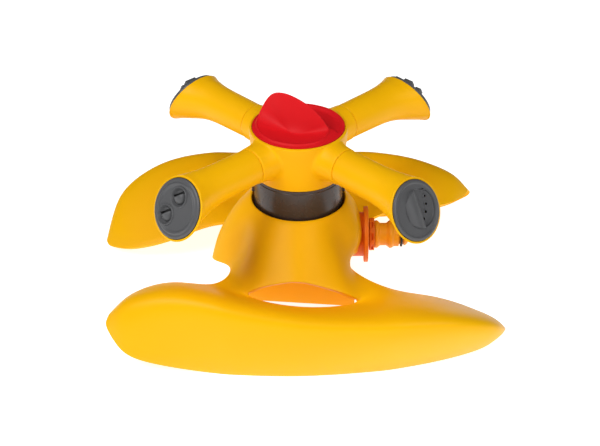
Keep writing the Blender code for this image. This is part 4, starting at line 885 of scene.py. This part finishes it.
# Two slots, each over a half-round lip in its own scoop
twin = {
    "crown": ((0, 0.0007), (0.0012, 0.0013), (0.0027, 0.0011), (0.0035, 0.0018), (0.0045, 0.0017),
              (0.0055, 0.0008)),
    "middle": 0.0010,
    "rounds": (0.0004, 0.0006, 0.0004, 0.0003, 0.0004, 0.0010, 0),
    "places": ((-0.0018, 0.0086), (-0.0084, -0.0063)),
    "turn": math.radians(40.0),
    "shift": -0.0014,
    "scoopRadius": 0.0066,
    "scoopDepth": 0.0012,
    # bottom, rim past the scoop's radius, top and roundings
    "border": (-0.0004, ((0.0012, -0.0004), (0.0007, 0.0016), (-0.0002, 0.0016)), 0.0009,
               (0, 0.0002, 0.0005, 0.0004, 0)),
    "bowl": (-0.0012, ((-0.0018, -0.0012), (0, 0.0018), (0, 0.0060)), 0.0060, (0, 0.0012, 0.0004, 0, 0)),
    "slotSize": (0.0094, 0.0024),
    "slotPlace": 0.0023,
    "slotRound": 0.0003,
    "lipSize": (0.005264, 0.0058, 0.0036),
    "lipPlace": 0.0010,
    "lipLevels": (-0.0012, -0.0019),
    # blocks that cut the lip's back and foot
    "lipBack": (0.0200, 0.0100, 0.0120),
    "lipBackPlace": 0.0062,
    "lipTilt": 0.12,
    "lipFoot": (0.0200, 0.0200, 0.0100),
    "lipFootDrop": 0.0054,
    "cutRound": 0.0002,
}


def buildTwinSlotCap():
    t = twin
    piece = capBlank("nozzleTwinSlot", t)
    turn = Matrix.Rotation(t["turn"], 4, "Z") @ Matrix.Translation((0, t["shift"], 0))
    places = [Matrix.Translation((x, y, 0)) @ turn for x, y in t["places"]]
    for name, shape, operation in (("scoopBorder", t["border"], "UNION"), ("scoop", t["bowl"], "DIFFERENCE")):
        for at in places:
            shapeWith(piece, makeObject(name, discMesh(name, t["scoopRadius"], shape, 72), at), operation)
    low, high = cap["pocketEnd"], cap["pocketTop"]
    back = Matrix.Translation((0, t["lipBackPlace"], 0)) @ Matrix.Rotation(t["lipTilt"], 4, "X")
    slotPlace = Matrix.Translation((0, t["slotPlace"], (low + high) / 2))
    slotBlock = (*t["slotSize"], high - low)
    for at, level in zip(places, t["lipLevels"]):
        lipPlace = Matrix.Translation((0, t["lipPlace"], level)) @ Matrix.Diagonal((*t["lipSize"], 1))
        foot = Matrix.Translation((0, 0, level - t["lipFootDrop"]))
        bm = bmesh.new()
        bmesh.ops.create_uvsphere(bm, u_segments=56, v_segments=28, radius=1, matrix=lipPlace)
        lip = makeObject("slotLip", meshOf(bm, "slotLip"))
        shapeWith(lip, roundedBlock("slotLipBack", t["lipBack"], back, t["cutRound"], 1))
        shapeWith(lip, roundedBlock("slotLipFoot", t["lipFoot"], foot, t["cutRound"], 1))
        lip.data.transform(at)
        shapeWith(piece, lip, "UNION")
        shapeWith(piece, roundedBlock("slot", slotBlock, at @ slotPlace, t["slotRound"], 2))
    slotSize = Matrix.Translation((0, t["slotPlace"], 0)) @ Matrix.Diagonal((*t["slotSize"], 1, 1))
    # the slot faces are marked for painted shade, nearly black
    markPocketShade(piece, -t["scoopDepth"], [(at @ slotSize).inverted() for at in places])
    return piece


finishCap(buildTwinSlotCap(), 0, "nozzle_twin_slot")

# A dish in a ring: a barrel on one side, an arc of growing holes on the other
shower = {
    "crown": ((0, 0.0006), (0.0010, 0.0013), (0.0022, 0.0014), (0.0028, 0.0008)),
    "middle": 0.0014,
    "rounds": (0.0004, 0.0006, 0.0004, 0.0004, 0),
    "dishRadius": 0.0140,
    "dishPlace": 0.0034,
    "dishDepth": 0.0010,
    # bottom, rim past the radius, top and roundings
    "dish": (-0.0010, ((-0.0008, -0.0010), (0, 0.0050)), 0.0050, (0, 0.0006, 0, 0)),
    "barrelRound": (-0.0018, ((-0.0003, -0.0018), (-0.0009, 0.0044)), 0.0052, (0, 0, 0.0016, 0)),
    "holeCollar": (-0.0013, ((0.000975, -0.0013), (0.0006, -0.0004)), -0.0004, (0, 0, 0.0002, 0)),
    "barrelRadius": 0.0092,
    "barrelHalf": 0.0200,
    "barrelPlace": -0.0026,
    "barrelHeight": 0.0030,
    "barrelFace": (0.0200, 0.0400, 0.0200),
    "faceRound": 0.0004,
    "barrelEdge": 0.0050,
    "holes": 5,
    "holeRadius": 0.00075,
    "holeGrow": 0.13,
    "arcRadius": 0.0180,
    "arcCentre": (-0.0066, 0.0062),
    "arcStart": math.radians(16.0),
    "arcStep": math.radians(-17.0),
}


def makeGeometryTree(name, inputs):
    tree = bpy.data.node_groups.new(name, "GeometryNodeTree")
    tree.interface.new_socket(name="Geometry", in_out="INPUT", socket_type="NodeSocketGeometry")
    for label, kind in inputs:
        tree.interface.new_socket(name=label, in_out="INPUT", socket_type=kind)
    tree.interface.new_socket(name="Geometry", in_out="OUTPUT", socket_type="NodeSocketGeometry")
    return tree


def buildArcTree():
    # copies of a small shape on an arc, all facing outwards
    tree = makeGeometryTree("copiesOnArc", [
        ("Shape", "NodeSocketObject"), ("Count", "NodeSocketInt"), ("Radius", "NodeSocketFloat"),
        ("Start", "NodeSocketFloat"), ("Step", "NodeSocketFloat"), ("Grow", "NodeSocketFloat"),
        ("Finish", "NodeSocketMaterial")])
    enter = addNode(tree, "NodeGroupInput", -900, 0)
    leave = addNode(tree, "NodeGroupOutput", 900, 0)
    points = addNode(tree, "GeometryNodePoints", -650, 200)
    index = addNode(tree, "GeometryNodeInputIndex", -900, -250)
    angle = addNode(tree, "ShaderNodeMath", -650, -200, operation="MULTIPLY_ADD")
    cosine = addNode(tree, "ShaderNodeMath", -450, -100, operation="COSINE")
    sine = addNode(tree, "ShaderNodeMath", -450, -300, operation="SINE")
    across = addNode(tree, "ShaderNodeMath", -250, -100, operation="MULTIPLY")
    upward = addNode(tree, "ShaderNodeMath", -250, -300, operation="MULTIPLY")
    place = addNode(tree, "ShaderNodeCombineXYZ", -50, -200)
    setPlace = addNode(tree, "GeometryNodeSetPosition", 100, 200)
    facing = addNode(tree, "ShaderNodeCombineXYZ", 100, -350)
    shape = addNode(tree, "GeometryNodeObjectInfo", 100, -100)
    grow = addNode(tree, "ShaderNodeMath", 100, -500, {2: 1.0}, operation="MULTIPLY_ADD")
    copies = addNode(tree, "GeometryNodeInstanceOnPoints", 350, 150)
    realize = addNode(tree, "GeometryNodeRealizeInstances", 530, 100)
    finish = addNode(tree, "GeometryNodeSetMaterial", 710, 50)
    wire(tree, (enter, "Count", points, "Count"), (index, "Index", angle, 0), (enter, "Step", angle, 1),
         (enter, "Start", angle, 2), (angle, "Value", cosine, 0), (angle, "Value", sine, 0),
         (cosine, "Value", across, 0), (enter, "Radius", across, 1), (sine, "Value", upward, 0),
         (enter, "Radius", upward, 1), (across, "Value", place, "X"), (upward, "Value", place, "Y"),
         (points, "Points", setPlace, "Geometry"), (place, "Vector", setPlace, "Position"),
         (enter, "Shape", shape, "Object"), (angle, "Value", facing, "Z"),
         (setPlace, "Geometry", copies, "Points"), (shape, "Geometry", copies, "Instance"),
         (facing, "Vector", copies, "Rotation"), (index, "Index", grow, 0), (enter, "Grow", grow, 1),
         (grow, "Value", copies, "Scale"), (copies, "Instances", realize, "Geometry"),
         (realize, "Geometry", finish, "Geometry"), (enter, "Finish", finish, "Material"),
         (finish, "Geometry", leave, "Geometry"))
    return tree


arcTree = buildArcTree()


def copiesOnArc(name, shape, values, slotName, matrix):
    holder = makeObject(name, bpy.data.meshes.new(name))
    modifier = holder.modifiers.new("copies", "NODES")
    modifier.node_group = arcTree
    given = dict(values, Shape=shape, Finish=finishes[slotName])
    for item in arcTree.interface.items_tree:
        if item.item_type == "SOCKET" and item.in_out == "INPUT" and item.name in given:
            modifier[item.identifier] = given[item.name]
    settleModifiers(holder)
    dropObjects(shape)
    holder.data.transform(matrix)
    return holder


def buildShowerCap():
    s = shower
    hole = s["holeRadius"]
    atDish = Matrix.Translation((s["dishPlace"], 0, 0))
    piece = capBlank("nozzleShower", s)
    shapeWith(piece, makeObject("dish", discMesh("dish", s["dishRadius"], s["dish"], 96), atDish))
    lying = (Matrix.Translation((s["barrelPlace"], 0, s["barrelHeight"] - s["barrelRadius"]))
             @ Matrix.Rotation(math.pi / 2, 4, "X"))
    rod = rodMesh("barrel", s["barrelRadius"], -s["barrelHalf"], s["barrelHalf"], 128)
    barrel = makeObject("barrel", rod, lying)
    barrelRound = discMesh("barrelRound", s["dishRadius"], s["barrelRound"], 96)
    shapeWith(barrel, makeObject("barrelRound", barrelRound, atDish), "INTERSECT")
    facePlace = Matrix.Translation((s["barrelEdge"] + s["barrelFace"][0] / 2, 0, 0))
    shapeWith(barrel, roundedBlock("barrelFace", s["barrelFace"], facePlace, s["faceRound"], 1))
    shapeWith(piece, barrel, "UNION")
    centre = Matrix.Translation((*s["arcCentre"], 0))
    values = {"Count": s["holes"], "Radius": s["arcRadius"], "Start": s["arcStart"], "Step": s["arcStep"],
              "Grow": s["holeGrow"]}
    collars = makeObject("holeCollar", discMesh("holeCollar", hole, s["holeCollar"], 28))
    shapeWith(piece, copiesOnArc("holeCollars", collars, values, "grey", centre), "UNION")
    drill = makeObject("drill", rodMesh("drill", hole, cap["pocketEnd"], cap["pocketTop"], 20))
    shapeWith(piece, copiesOnArc("showerHoles", drill, values, "grey", centre))
    # the hole faces are marked for painted shade, nearly black
    markPocketShade(piece, -s["dishDepth"])
    return piece


finishCap(buildShowerCap(), 1, "nozzle_shower")

# Blocks that break the spray up: place across and up, width, depth, height
blockCaps = {
    "castle": ((-0.0115, 0.0098, 0.0052, 0.0050, 0.0056), (-0.0030, 0.0138, 0.0078, 0.0050, 0.0062),
               (0.0070, 0.0124, 0.0056, 0.0050, 0.0056), (0.0000, 0.0030, 0.0170, 0.0050, 0.0034)),
    "stepped": ((0.0045, 0.0112, 0.0170, 0.0066, 0.0046), (0.0030, 0.0128, 0.0096, 0.0046, 0.0066)),
    "sink": 0.0008,
    "blockRound": 0.0006,
    "crown": ((0, 0.00168), (0.0008, 0.0028), (0.0026, 0.0027), (0.0034, 0.0006)),
    "middle": 0.0008,
    "rounds": (0.0004, 0.0006, 0.0004, 0.0004, 0),
}


def buildBlockCap(name, blocks):
    piece = capBlank(name, blockCaps)
    for x, y, wide, deep, tall in blocks:
        height = tall + blockCaps["sink"]
        place = Matrix.Translation((x, y, tall - height / 2))
        shapeWith(piece, roundedBlock("block", (wide, deep, height), place, blockCaps["blockRound"]), "UNION")
    return piece


finishCap(buildBlockCap("nozzleCastle", blockCaps["castle"]), 2, "nozzle_castle")
finishCap(buildBlockCap("nozzleStepped", blockCaps["stepped"]), 3, "nozzle_stepped")
print("nozzle caps made")

# Dark collar between hub and turret
collar = {
    "steps": 128,
    "floor": 0.0726,
    "radius": 0.0314,
    "wall": 0.0024,
    "hubFoot": 0.1024,
    "spigotHeight": 0.0050,
    "spigotRadius": 0.0285,
    "hubBore": 0.0103,
    "hubRadius": 0.0132,
    "bushTop": 0.0960,
    "lugHeight": 0.0865,
    "lugSize": (0.0034, 0.0050, 0.0022),
    "edgeRound": 0.0005,
    "foot": ((-0.0006, 0), (0, 0.0010)),
    "gap": 0.0003,
    "step": ((0, -0.0024), (-0.0004, -0.0021), (-0.0004, 0)),
}


def buildCollar():
    c = collar
    top = c["hubFoot"] - c["gap"]
    spigotTop = c["hubFoot"] + c["spigotHeight"]
    inner, floor = c["spigotRadius"] - c["wall"], c["floor"] + c["wall"]
    profile = [(c["hubBore"], c["floor"])] + moved(c["foot"], c["radius"], c["floor"])
    profile += moved(c["step"], c["radius"], top)
    profile += [(c["spigotRadius"], top), (c["spigotRadius"], spigotTop), (inner, spigotTop), (inner, floor),
                (c["hubRadius"], floor), (c["hubRadius"], c["bushTop"]), (c["hubBore"], c["bushTop"])]
    rounded = roundedProfile(profile, c["edgeRound"], 3)
    piece = makeObject("collar", turnedMesh("collar", rounded, c["steps"], 35))
    for turn in (0, math.pi):
        place = Matrix.Rotation(turn, 4, "Z") @ Matrix.Translation((c["radius"], 0, c["lugHeight"]))
        shapeWith(piece, roundedBlock("lug", c["lugSize"], place), "UNION", 35)
    return piece


finishPiece(buildCollar(), "rotor", "dark", "collar")
print("collar made")

# Hose inlet, turned round a level axis
inlet = {
    "height": 0.0482,
    "face": 0.0501,
    "flangeWall": 0.0030,
    "flangeRadius": 0.0202,
    "spigotRadius": 0.0160,
    "spigotEnd": 0.0340,
    "pipeBore": 0.0088,
    "nutBore": 0.0082,
    "nutStart": 0.0511,
    "nutLength": 0.0036,
    "nutRadius": 0.0118,
    "notches": 8,
    "notchSize": (0.0028, 0.0050, 0.00162),
    "tailRadius": 0.0088,
    "tailBore": 0.0050,
    "tip": 0.0789,
    "sealPlace": 0.0742,
    "sealOuter": 0.0092,
    "sealThickness": 0.0030,
    "sealSides": 24,
    "sealSink": 0.0004,
    "ridgePlace": 0.0664,
    "fit": 0.0003,
    "flangeRound": 0.0005,
    "nutRound": 0.0004,
    "notchRound": 0.0003,
    "tailRound": 0.0006,
    # way out from the flange's or nut's radius and along from the face
    "faceRing": ((-0.0040, 0), (-0.0044, -0.0004)),
    "faceBoss": ((0.0012, -0.0004), (0.0008, 0)),
    # way out from the tail's radius and along from shoulder, ridge and tip
    "tailShoulder": ((0.0012, 0), (0.0012, 0.0020), (-0.0006, 0.0038)),
    "tailRidge": ((-0.0006, -0.0030), (0.0013, -0.0008), (0.0013, 0.0008), (0, 0.0024)),
    "tailTip": ((-0.0010, -0.0014), (-0.0024, 0)),
}


def turnedInlet(name, profile, rounds, steps=96):
    return makeObject(name, turnedMesh(name, roundedProfile(profile, rounds, 4), steps, 35),
                      alongAxisX(inlet["height"]))


def buildInlet():
    n = inlet
    fit, face, bore = n["fit"], n["face"], n["nutBore"] + n["fit"]
    back = face - n["flangeWall"]
    flange = turnedInlet("inletFlange", [
        (n["pipeBore"], n["spigotEnd"]), (n["spigotRadius"], n["spigotEnd"]), (n["spigotRadius"], back),
        (n["flangeRadius"], back), (n["flangeRadius"], face), *moved(n["faceRing"], n["flangeRadius"], face),
        *moved(n["faceBoss"], n["nutRadius"], face), (bore, face), (bore, back), (n["pipeBore"], back)],
        n["flangeRound"])
    finishPiece(flange, "base", "orange", "inlet_flange")

    start, end = n["nutStart"], n["nutStart"] + n["nutLength"]
    nut = turnedInlet("inletNut", [
        (bore, start), (n["nutRadius"], start), (n["nutRadius"], end), (bore, end)], n["nutRound"])
    notch = roundedBlock("notch", n["notchSize"], Matrix.Identity(4), n["notchRound"], 2)
    step = math.tau / n["notches"]
    values = {"Count": n["notches"], "Radius": n["nutRadius"], "Start": step / 2, "Step": step}
    middle = alongAxisX(n["height"]) @ Matrix.Translation((0, 0, (start + end) / 2))
    shapeWith(nut, copiesOnArc("nutNotches", notch, values, "orange", middle))
    finishPiece(nut, "base", "orange", "inlet_nut")

    groove = n["sealOuter"] - n["sealThickness"] / 2 - n["sealSink"]
    near = n["sealPlace"] - n["sealThickness"] / 2 - fit
    far = n["sealPlace"] + n["sealThickness"] / 2 + fit
    tail = turnedInlet("inletTail", [
        (n["tailBore"], back + fit), (n["nutBore"], back + fit), (n["nutBore"], end + fit),
        *moved(n["tailShoulder"], n["tailRadius"], end + fit),
        *moved(n["tailRidge"], n["tailRadius"], n["ridgePlace"]), (n["tailRadius"], near), (groove, near),
        (groove, far), (n["tailRadius"] - n["sealSink"], far),
        *moved(n["tailTip"], n["tailRadius"], n["tip"]), (n["tailBore"], n["tip"])], n["tailRound"])
    finishPiece(tail, "base", "amber", "inlet_tail")

    half = (n["sealOuter"] - groove - fit) / 2
    ring = []
    for k in range(n["sealSides"]):
        turn = math.tau * k / n["sealSides"]
        ring.append((groove + fit + half + half * math.cos(turn), n["sealPlace"] + half * math.sin(turn)))
    seal = makeObject("inletSeal", turnedMesh("inletSeal", ring, 96), alongAxisX(n["height"]))
    finishPiece(seal, "base", "rubber", "inlet_seal")


buildInlet()
print("inlet made")

# Selector knob: a spoon-shaped scoop whose back edge rises into the blade, and a dish behind it
knob = {
    "radius": 0.0322,
    "height": 0.1380,
    "thickness": 0.0028,
    "scoopCentre": (-0.0030, -0.0110),
    # the scoop's edge: place across and back, and height over the disc
    "edge": ((-0.0281, 0.0032, 0.0040), (-0.0261, 0.0069, 0.0078), (-0.0233, 0.0083, 0.0132),
             (-0.0208, 0.0079, 0.0174), (-0.0182, 0.0067, 0.0206), (-0.0150, 0.0053, 0.0226),
             (-0.0114, 0.0037, 0.0233), (-0.0070, 0.0018, 0.0231), (-0.0003, -0.0011, 0.0211),
             (0.0072, -0.0043, 0.0171), (0.0147, -0.0075, 0.0106), (0.0185, -0.0092, 0.0056),
             (0.0206, -0.0117, 0.0030), (0.0200, -0.0160, 0.0020), (0.0164, -0.0224, 0.0017),
             (0.0097, -0.0276, 0.0015), (-0.0023, -0.0296, 0.0014), (-0.0160, -0.0250, 0.0014),
             (-0.0245, -0.0160, 0.0014), (-0.0283, -0.0062, 0.0016), (-0.0288, -0.0010, 0.0024)),
    "edgeSteps": 12,
    "edgeLowest": 0.0008,
    "crestHalf": 0.0006,
    "crestTurns": (0.25, 0.5, 0.75),
    "scoopDepth": 0.0013,
    "hollow": 2.0,
    "leastGap": 0.0005,
    "skirt": 0.0125,
    "skirtPower": 2.7,
    "dishDepth": 0.0016,
    # where the dish behind the scoop begins and ends, and how far it takes to fall and rise
    "dishNear": (0.0050, 0.0050),
    "dishFar": (0.0012, 0.0030),
    "sides": 240,
    "rows": 44,
    "insidePower": 0.8,
    "outsidePower": 1.5,
    "rimRound": 0.0003,
    "rimBulge": 0.00015,
    "stem": 0.0050,
    "stemEnd": 0.13265,
}


def smoothStep(value):
    value = min(max(value, 0.0), 1.0)
    return value * value * (3 - 2 * value)


def scoopEdge():
    # the edge as distance and height for even directions round the scoop's centre
    centre = Vector((*knob["scoopCentre"], 0))
    points = [Vector(p) for p in knob["edge"]]
    steps = knob["edgeSteps"]
    found = []
    for point in curveThrough(points[-2:] + points + points[:3],
                              [1 + s / steps for s in range((len(points) + 2) * steps)]):
        away = point - centre
        found.append((math.atan2(away.y, away.x) % math.tau, math.hypot(away.x, away.y),
                      max(point.z, knob["edgeLowest"])))
    found.sort()
    before = [(angle - math.tau, reach, height) for angle, reach, height in found[-3:]]
    after = [(angle + math.tau, reach, height) for angle, reach, height in found[:3]]
    found = before + found + after
    edge = []
    for k in range(knob["sides"]):
        angle = math.tau * k / knob["sides"]
        s = max(i for i in range(len(found) - 1) if found[i][0] <= angle)
        low, high = found[s], found[s + 1]
        t = min((angle - low[0]) / max(high[0] - low[0], 0.000001), 1.0)
        edge.append((angle, low[1] * (1 - t) + high[1] * t, low[2] * (1 - t) + high[2] * t))
    return edge


def rimDistance(angle):
    cx, cy = knob["scoopCentre"]
    along = cx * math.cos(angle) + cy * math.sin(angle)
    return -along + math.sqrt(along * along + knob["radius"] ** 2 - cx * cx - cy * cy)


def knobRows(edge):
    # rows of distance and height: up the scoop, over its crest, then down the skirt and out to the rim
    half, low = knob["crestHalf"], -knob["scoopDepth"]
    rows = []
    for r in range(1, knob["rows"] + 1):
        share = (r / knob["rows"]) ** knob["insidePower"]
        rows.append([((reach - half) * share, low + (height - half - low) * share ** knob["hollow"])
                     for angle, reach, height in edge])
    for turn in knob["crestTurns"]:
        inward, upward = half * math.cos(math.pi * turn), half * math.sin(math.pi * turn)
        rows.append([(reach - inward, height - half + upward) for angle, reach, height in edge])
    (near, nearBand), (far, farBand) = knob["dishNear"], knob["dishFar"]
    for r in range(knob["rows"] + 1):
        share = (r / knob["rows"]) ** knob["outsidePower"]
        ring = []
        for angle, reach, height in edge:
            gap = max(rimDistance(angle) - reach - half, knob["leastGap"])
            away = gap * share
            fall = max(0.0, 1 - away / min(gap, knob["skirt"])) ** knob["skirtPower"]
            dish = smoothStep((away - near) / nearBand) * smoothStep((gap - away - far) / farBand)
            ring.append((reach + half + away, (height - half) * fall - knob["dishDepth"] * dish))
        rows.append(ring)
    return rows


def buildKnob():
    cx, cy = knob["scoopCentre"]
    edge = scoopEdge()
    bm = bmesh.new()
    middle = bm.verts.new((cx, cy, -knob["scoopDepth"]))
    loops = []
    for row in knobRows(edge):
        loops.append([bm.verts.new((cx + out * math.cos(spot[0]), cy + out * math.sin(spot[0]), height))
                      for (out, height), spot in zip(row, edge)])
    rim = loops[-1]
    radius, thick, rounding = knob["radius"], knob["thickness"], knob["rimRound"]
    for away, height in ((radius + knob["rimBulge"], -rounding), (radius, rounding - thick),
                         (radius - rounding, -thick), (knob["stem"], -thick),
                         (knob["stem"], knob["stemEnd"] - knob["height"])):
        ring = []
        for vert in rim:
            out = Vector((vert.co.x, vert.co.y, 0)).normalized() * away
            ring.append(bm.verts.new((out.x, out.y, height)))
        loops.append(ring)
    count = knob["sides"]
    for k in range(count):
        n = (k + 1) % count
        bm.faces.new((middle, loops[0][k], loops[0][n]))
        for low, high in zip(loops, loops[1:]):
            bm.faces.new((low[k], high[k], high[n], low[n]))
    bm.faces.new(list(reversed(loops[-1])))
    bmesh.ops.recalc_face_normals(bm, faces=bm.faces)
    mesh = meshOf(bm, "selectorKnob", 50)
    return makeObject("selectorKnob", mesh, Matrix.Translation((0, 0, knob["height"])))


finishPiece(buildKnob(), "selector", "red", "selector_knob")
print("knob made")

# Cover over the water pipe, seen through the arch
cover = {
    "top": 0.0629,
    "foot": 0.0060,
    "shoulder": 0.0245,
    "wall": 0.0022,
    "halfWidth": 0.0270,
    "frontTop": 0.0215,
    "frontFoot": 0.0436,
    "rearTop": 0.0215,
    "rearFoot": 0.0285,
    "turn": math.radians(-6.0),
    "edgeRound": 0.0012,
    "shoulderInset": 0.4,
    "topInset": 0.5,
    "boreRadius": 0.0070,
    "boreSpan": (-0.006, 0.002),
    "pipeRadius": 0.0170,
    "pipeSpan": (0.0107, 0.0501),
}


def coverPrism(name, front, rear, halfWidth, edgeRound=0.0):
    rings = [[Vector((x, -halfWidth, z)) for x, z in front], [Vector((x, halfWidth, z)) for x, z in rear]]
    piece = makeObject(name, loftRings(name, rings))
    if edgeRound > 0:
        addBevel(piece, edgeRound, 4, 20)
        settleModifiers(piece, 30)
    return piece


def coverOutline(foot, head, inset):
    low = cover["foot"] if inset == 0 else -overcut
    shoulder, top = cover["shoulder"] - inset * cover["shoulderInset"], cover["top"] - inset
    foot, head = foot - inset, head - inset * cover["topInset"]
    return [(-foot, low), (foot, low), (foot, shoulder), (head, top), (-head, top), (-foot, shoulder)]


def buildCover():
    c = cover
    pieces = []
    for name, inset, rounding in (("pipeCover", 0, c["edgeRound"]), ("coverHollow", c["wall"], 0)):
        front = coverOutline(c["frontFoot"], c["frontTop"], inset)
        rear = coverOutline(c["rearFoot"], c["rearTop"], inset)
        pieces.append(coverPrism(name, front, rear, c["halfWidth"] - inset, rounding))
    piece, hollow = pieces
    shapeWith(piece, hollow)
    piece.data.transform(Matrix.Rotation(c["turn"], 4, "Z"))
    low, high = [c["top"] + away for away in c["boreSpan"]]
    shapeWith(piece, makeObject("coverBore", rodMesh("coverBore", c["boreRadius"], low, high, 48)))
    shapeWith(piece, screwHoles(low, high))
    pipe = rodMesh("coverPipe", c["pipeRadius"], *c["pipeSpan"], 64)
    shapeWith(piece, makeObject("coverPipe", pipe, alongAxisX(inlet["height"])))
    return piece


# the cover's yellow is darkened a little: painted shade
finishPiece(buildCover(), "base", "inner_yellow", "pipe_cover")
print("cover made")

# Floor and light
studio = {
    "floorSize": 6.0,
    "floorHeight": -0.0004,
    "floorColor": (0.74, 0.74, 0.73),
    "floorRoughness": 0.85,
    "floorGlow": 0.85,
    "skyDirection": (0.0, -0.42, 0.91),
    "skyFrom": -0.3,
    "skyDim": 0.60,
    "skyStrength": 1.68,
    "keyPlace": (-0.7, -0.5, 1.1),
    "keySize": 0.7,
    "keyEnergy": 12.0,
    "fillPlace": (0.75, -0.75, 0.95),
    "fillSize": 0.9,
    "fillEnergy": 8.0,
    "lightTarget": (0, 0, 0.05),
}


def addAreaLight(name, location, size, energy):
    lightData = bpy.data.lights.new(name, "AREA")
    lightData.shape = "SQUARE"
    lightData.size = size
    lightData.energy = energy
    light = bpy.data.objects.new(name, lightData)
    light.location = location
    direction = Vector(studio["lightTarget"]) - Vector(location)
    light.rotation_euler = direction.to_track_quat("-Z", "Y").to_euler()
    bpy.context.scene.collection.objects.link(light)
    return light


halfFloor = studio["floorSize"] / 2
corners = [(x * halfFloor, y * halfFloor, studio["floorHeight"])
           for x, y in ((-1, -1), (1, -1), (1, 1), (-1, 1))]
floorMesh = bpy.data.meshes.new("floor")
floorMesh.from_pydata(corners, [], [(0, 1, 2, 3)])
floor = makeObject("floor", floorMesh)
floorMaterial = bpy.data.materials.new("floorPaper")
floorMaterial.use_nodes = True
floorShader = floorMaterial.node_tree.nodes["Principled BSDF"]
floorShader.inputs["Base Color"].default_value = (*studio["floorColor"], 1.0)
floorShader.inputs["Roughness"].default_value = studio["floorRoughness"]
floorShader.inputs["Emission Color"].default_value = (1.0, 1.0, 1.0, 1.0)
floorShader.inputs["Emission Strength"].default_value = studio["floorGlow"]
floorMesh.materials.append(floorMaterial)

# Sky, brighter towards the front and above
world = bpy.data.worlds.new("studio")
world.use_nodes = True
skyTree = world.node_tree
skyPlace = addNode(skyTree, "ShaderNodeTexCoord", -900, 0)
skyFacing = addNode(skyTree, "ShaderNodeVectorMath", -700, 0, {1: studio["skyDirection"]},
                    operation="DOT_PRODUCT")
skyRange = addNode(skyTree, "ShaderNodeMapRange", -450, 0, {
    "From Min": studio["skyFrom"], "To Min": studio["skyDim"], "To Max": studio["skyStrength"]})
wire(skyTree, (skyPlace, "Generated", skyFacing, 0), (skyFacing, "Value", skyRange, "Value"),
     (skyRange, "Result", skyTree.nodes["Background"], "Strength"))
bpy.context.scene.world = world
bpy.context.scene.view_settings.view_transform = "Standard"
keyLight = addAreaLight("keyLight", studio["keyPlace"], studio["keySize"], studio["keyEnergy"])
fillLight = addAreaLight("fillLight", studio["fillPlace"], studio["fillSize"], studio["fillEnergy"])
print("studio ready")
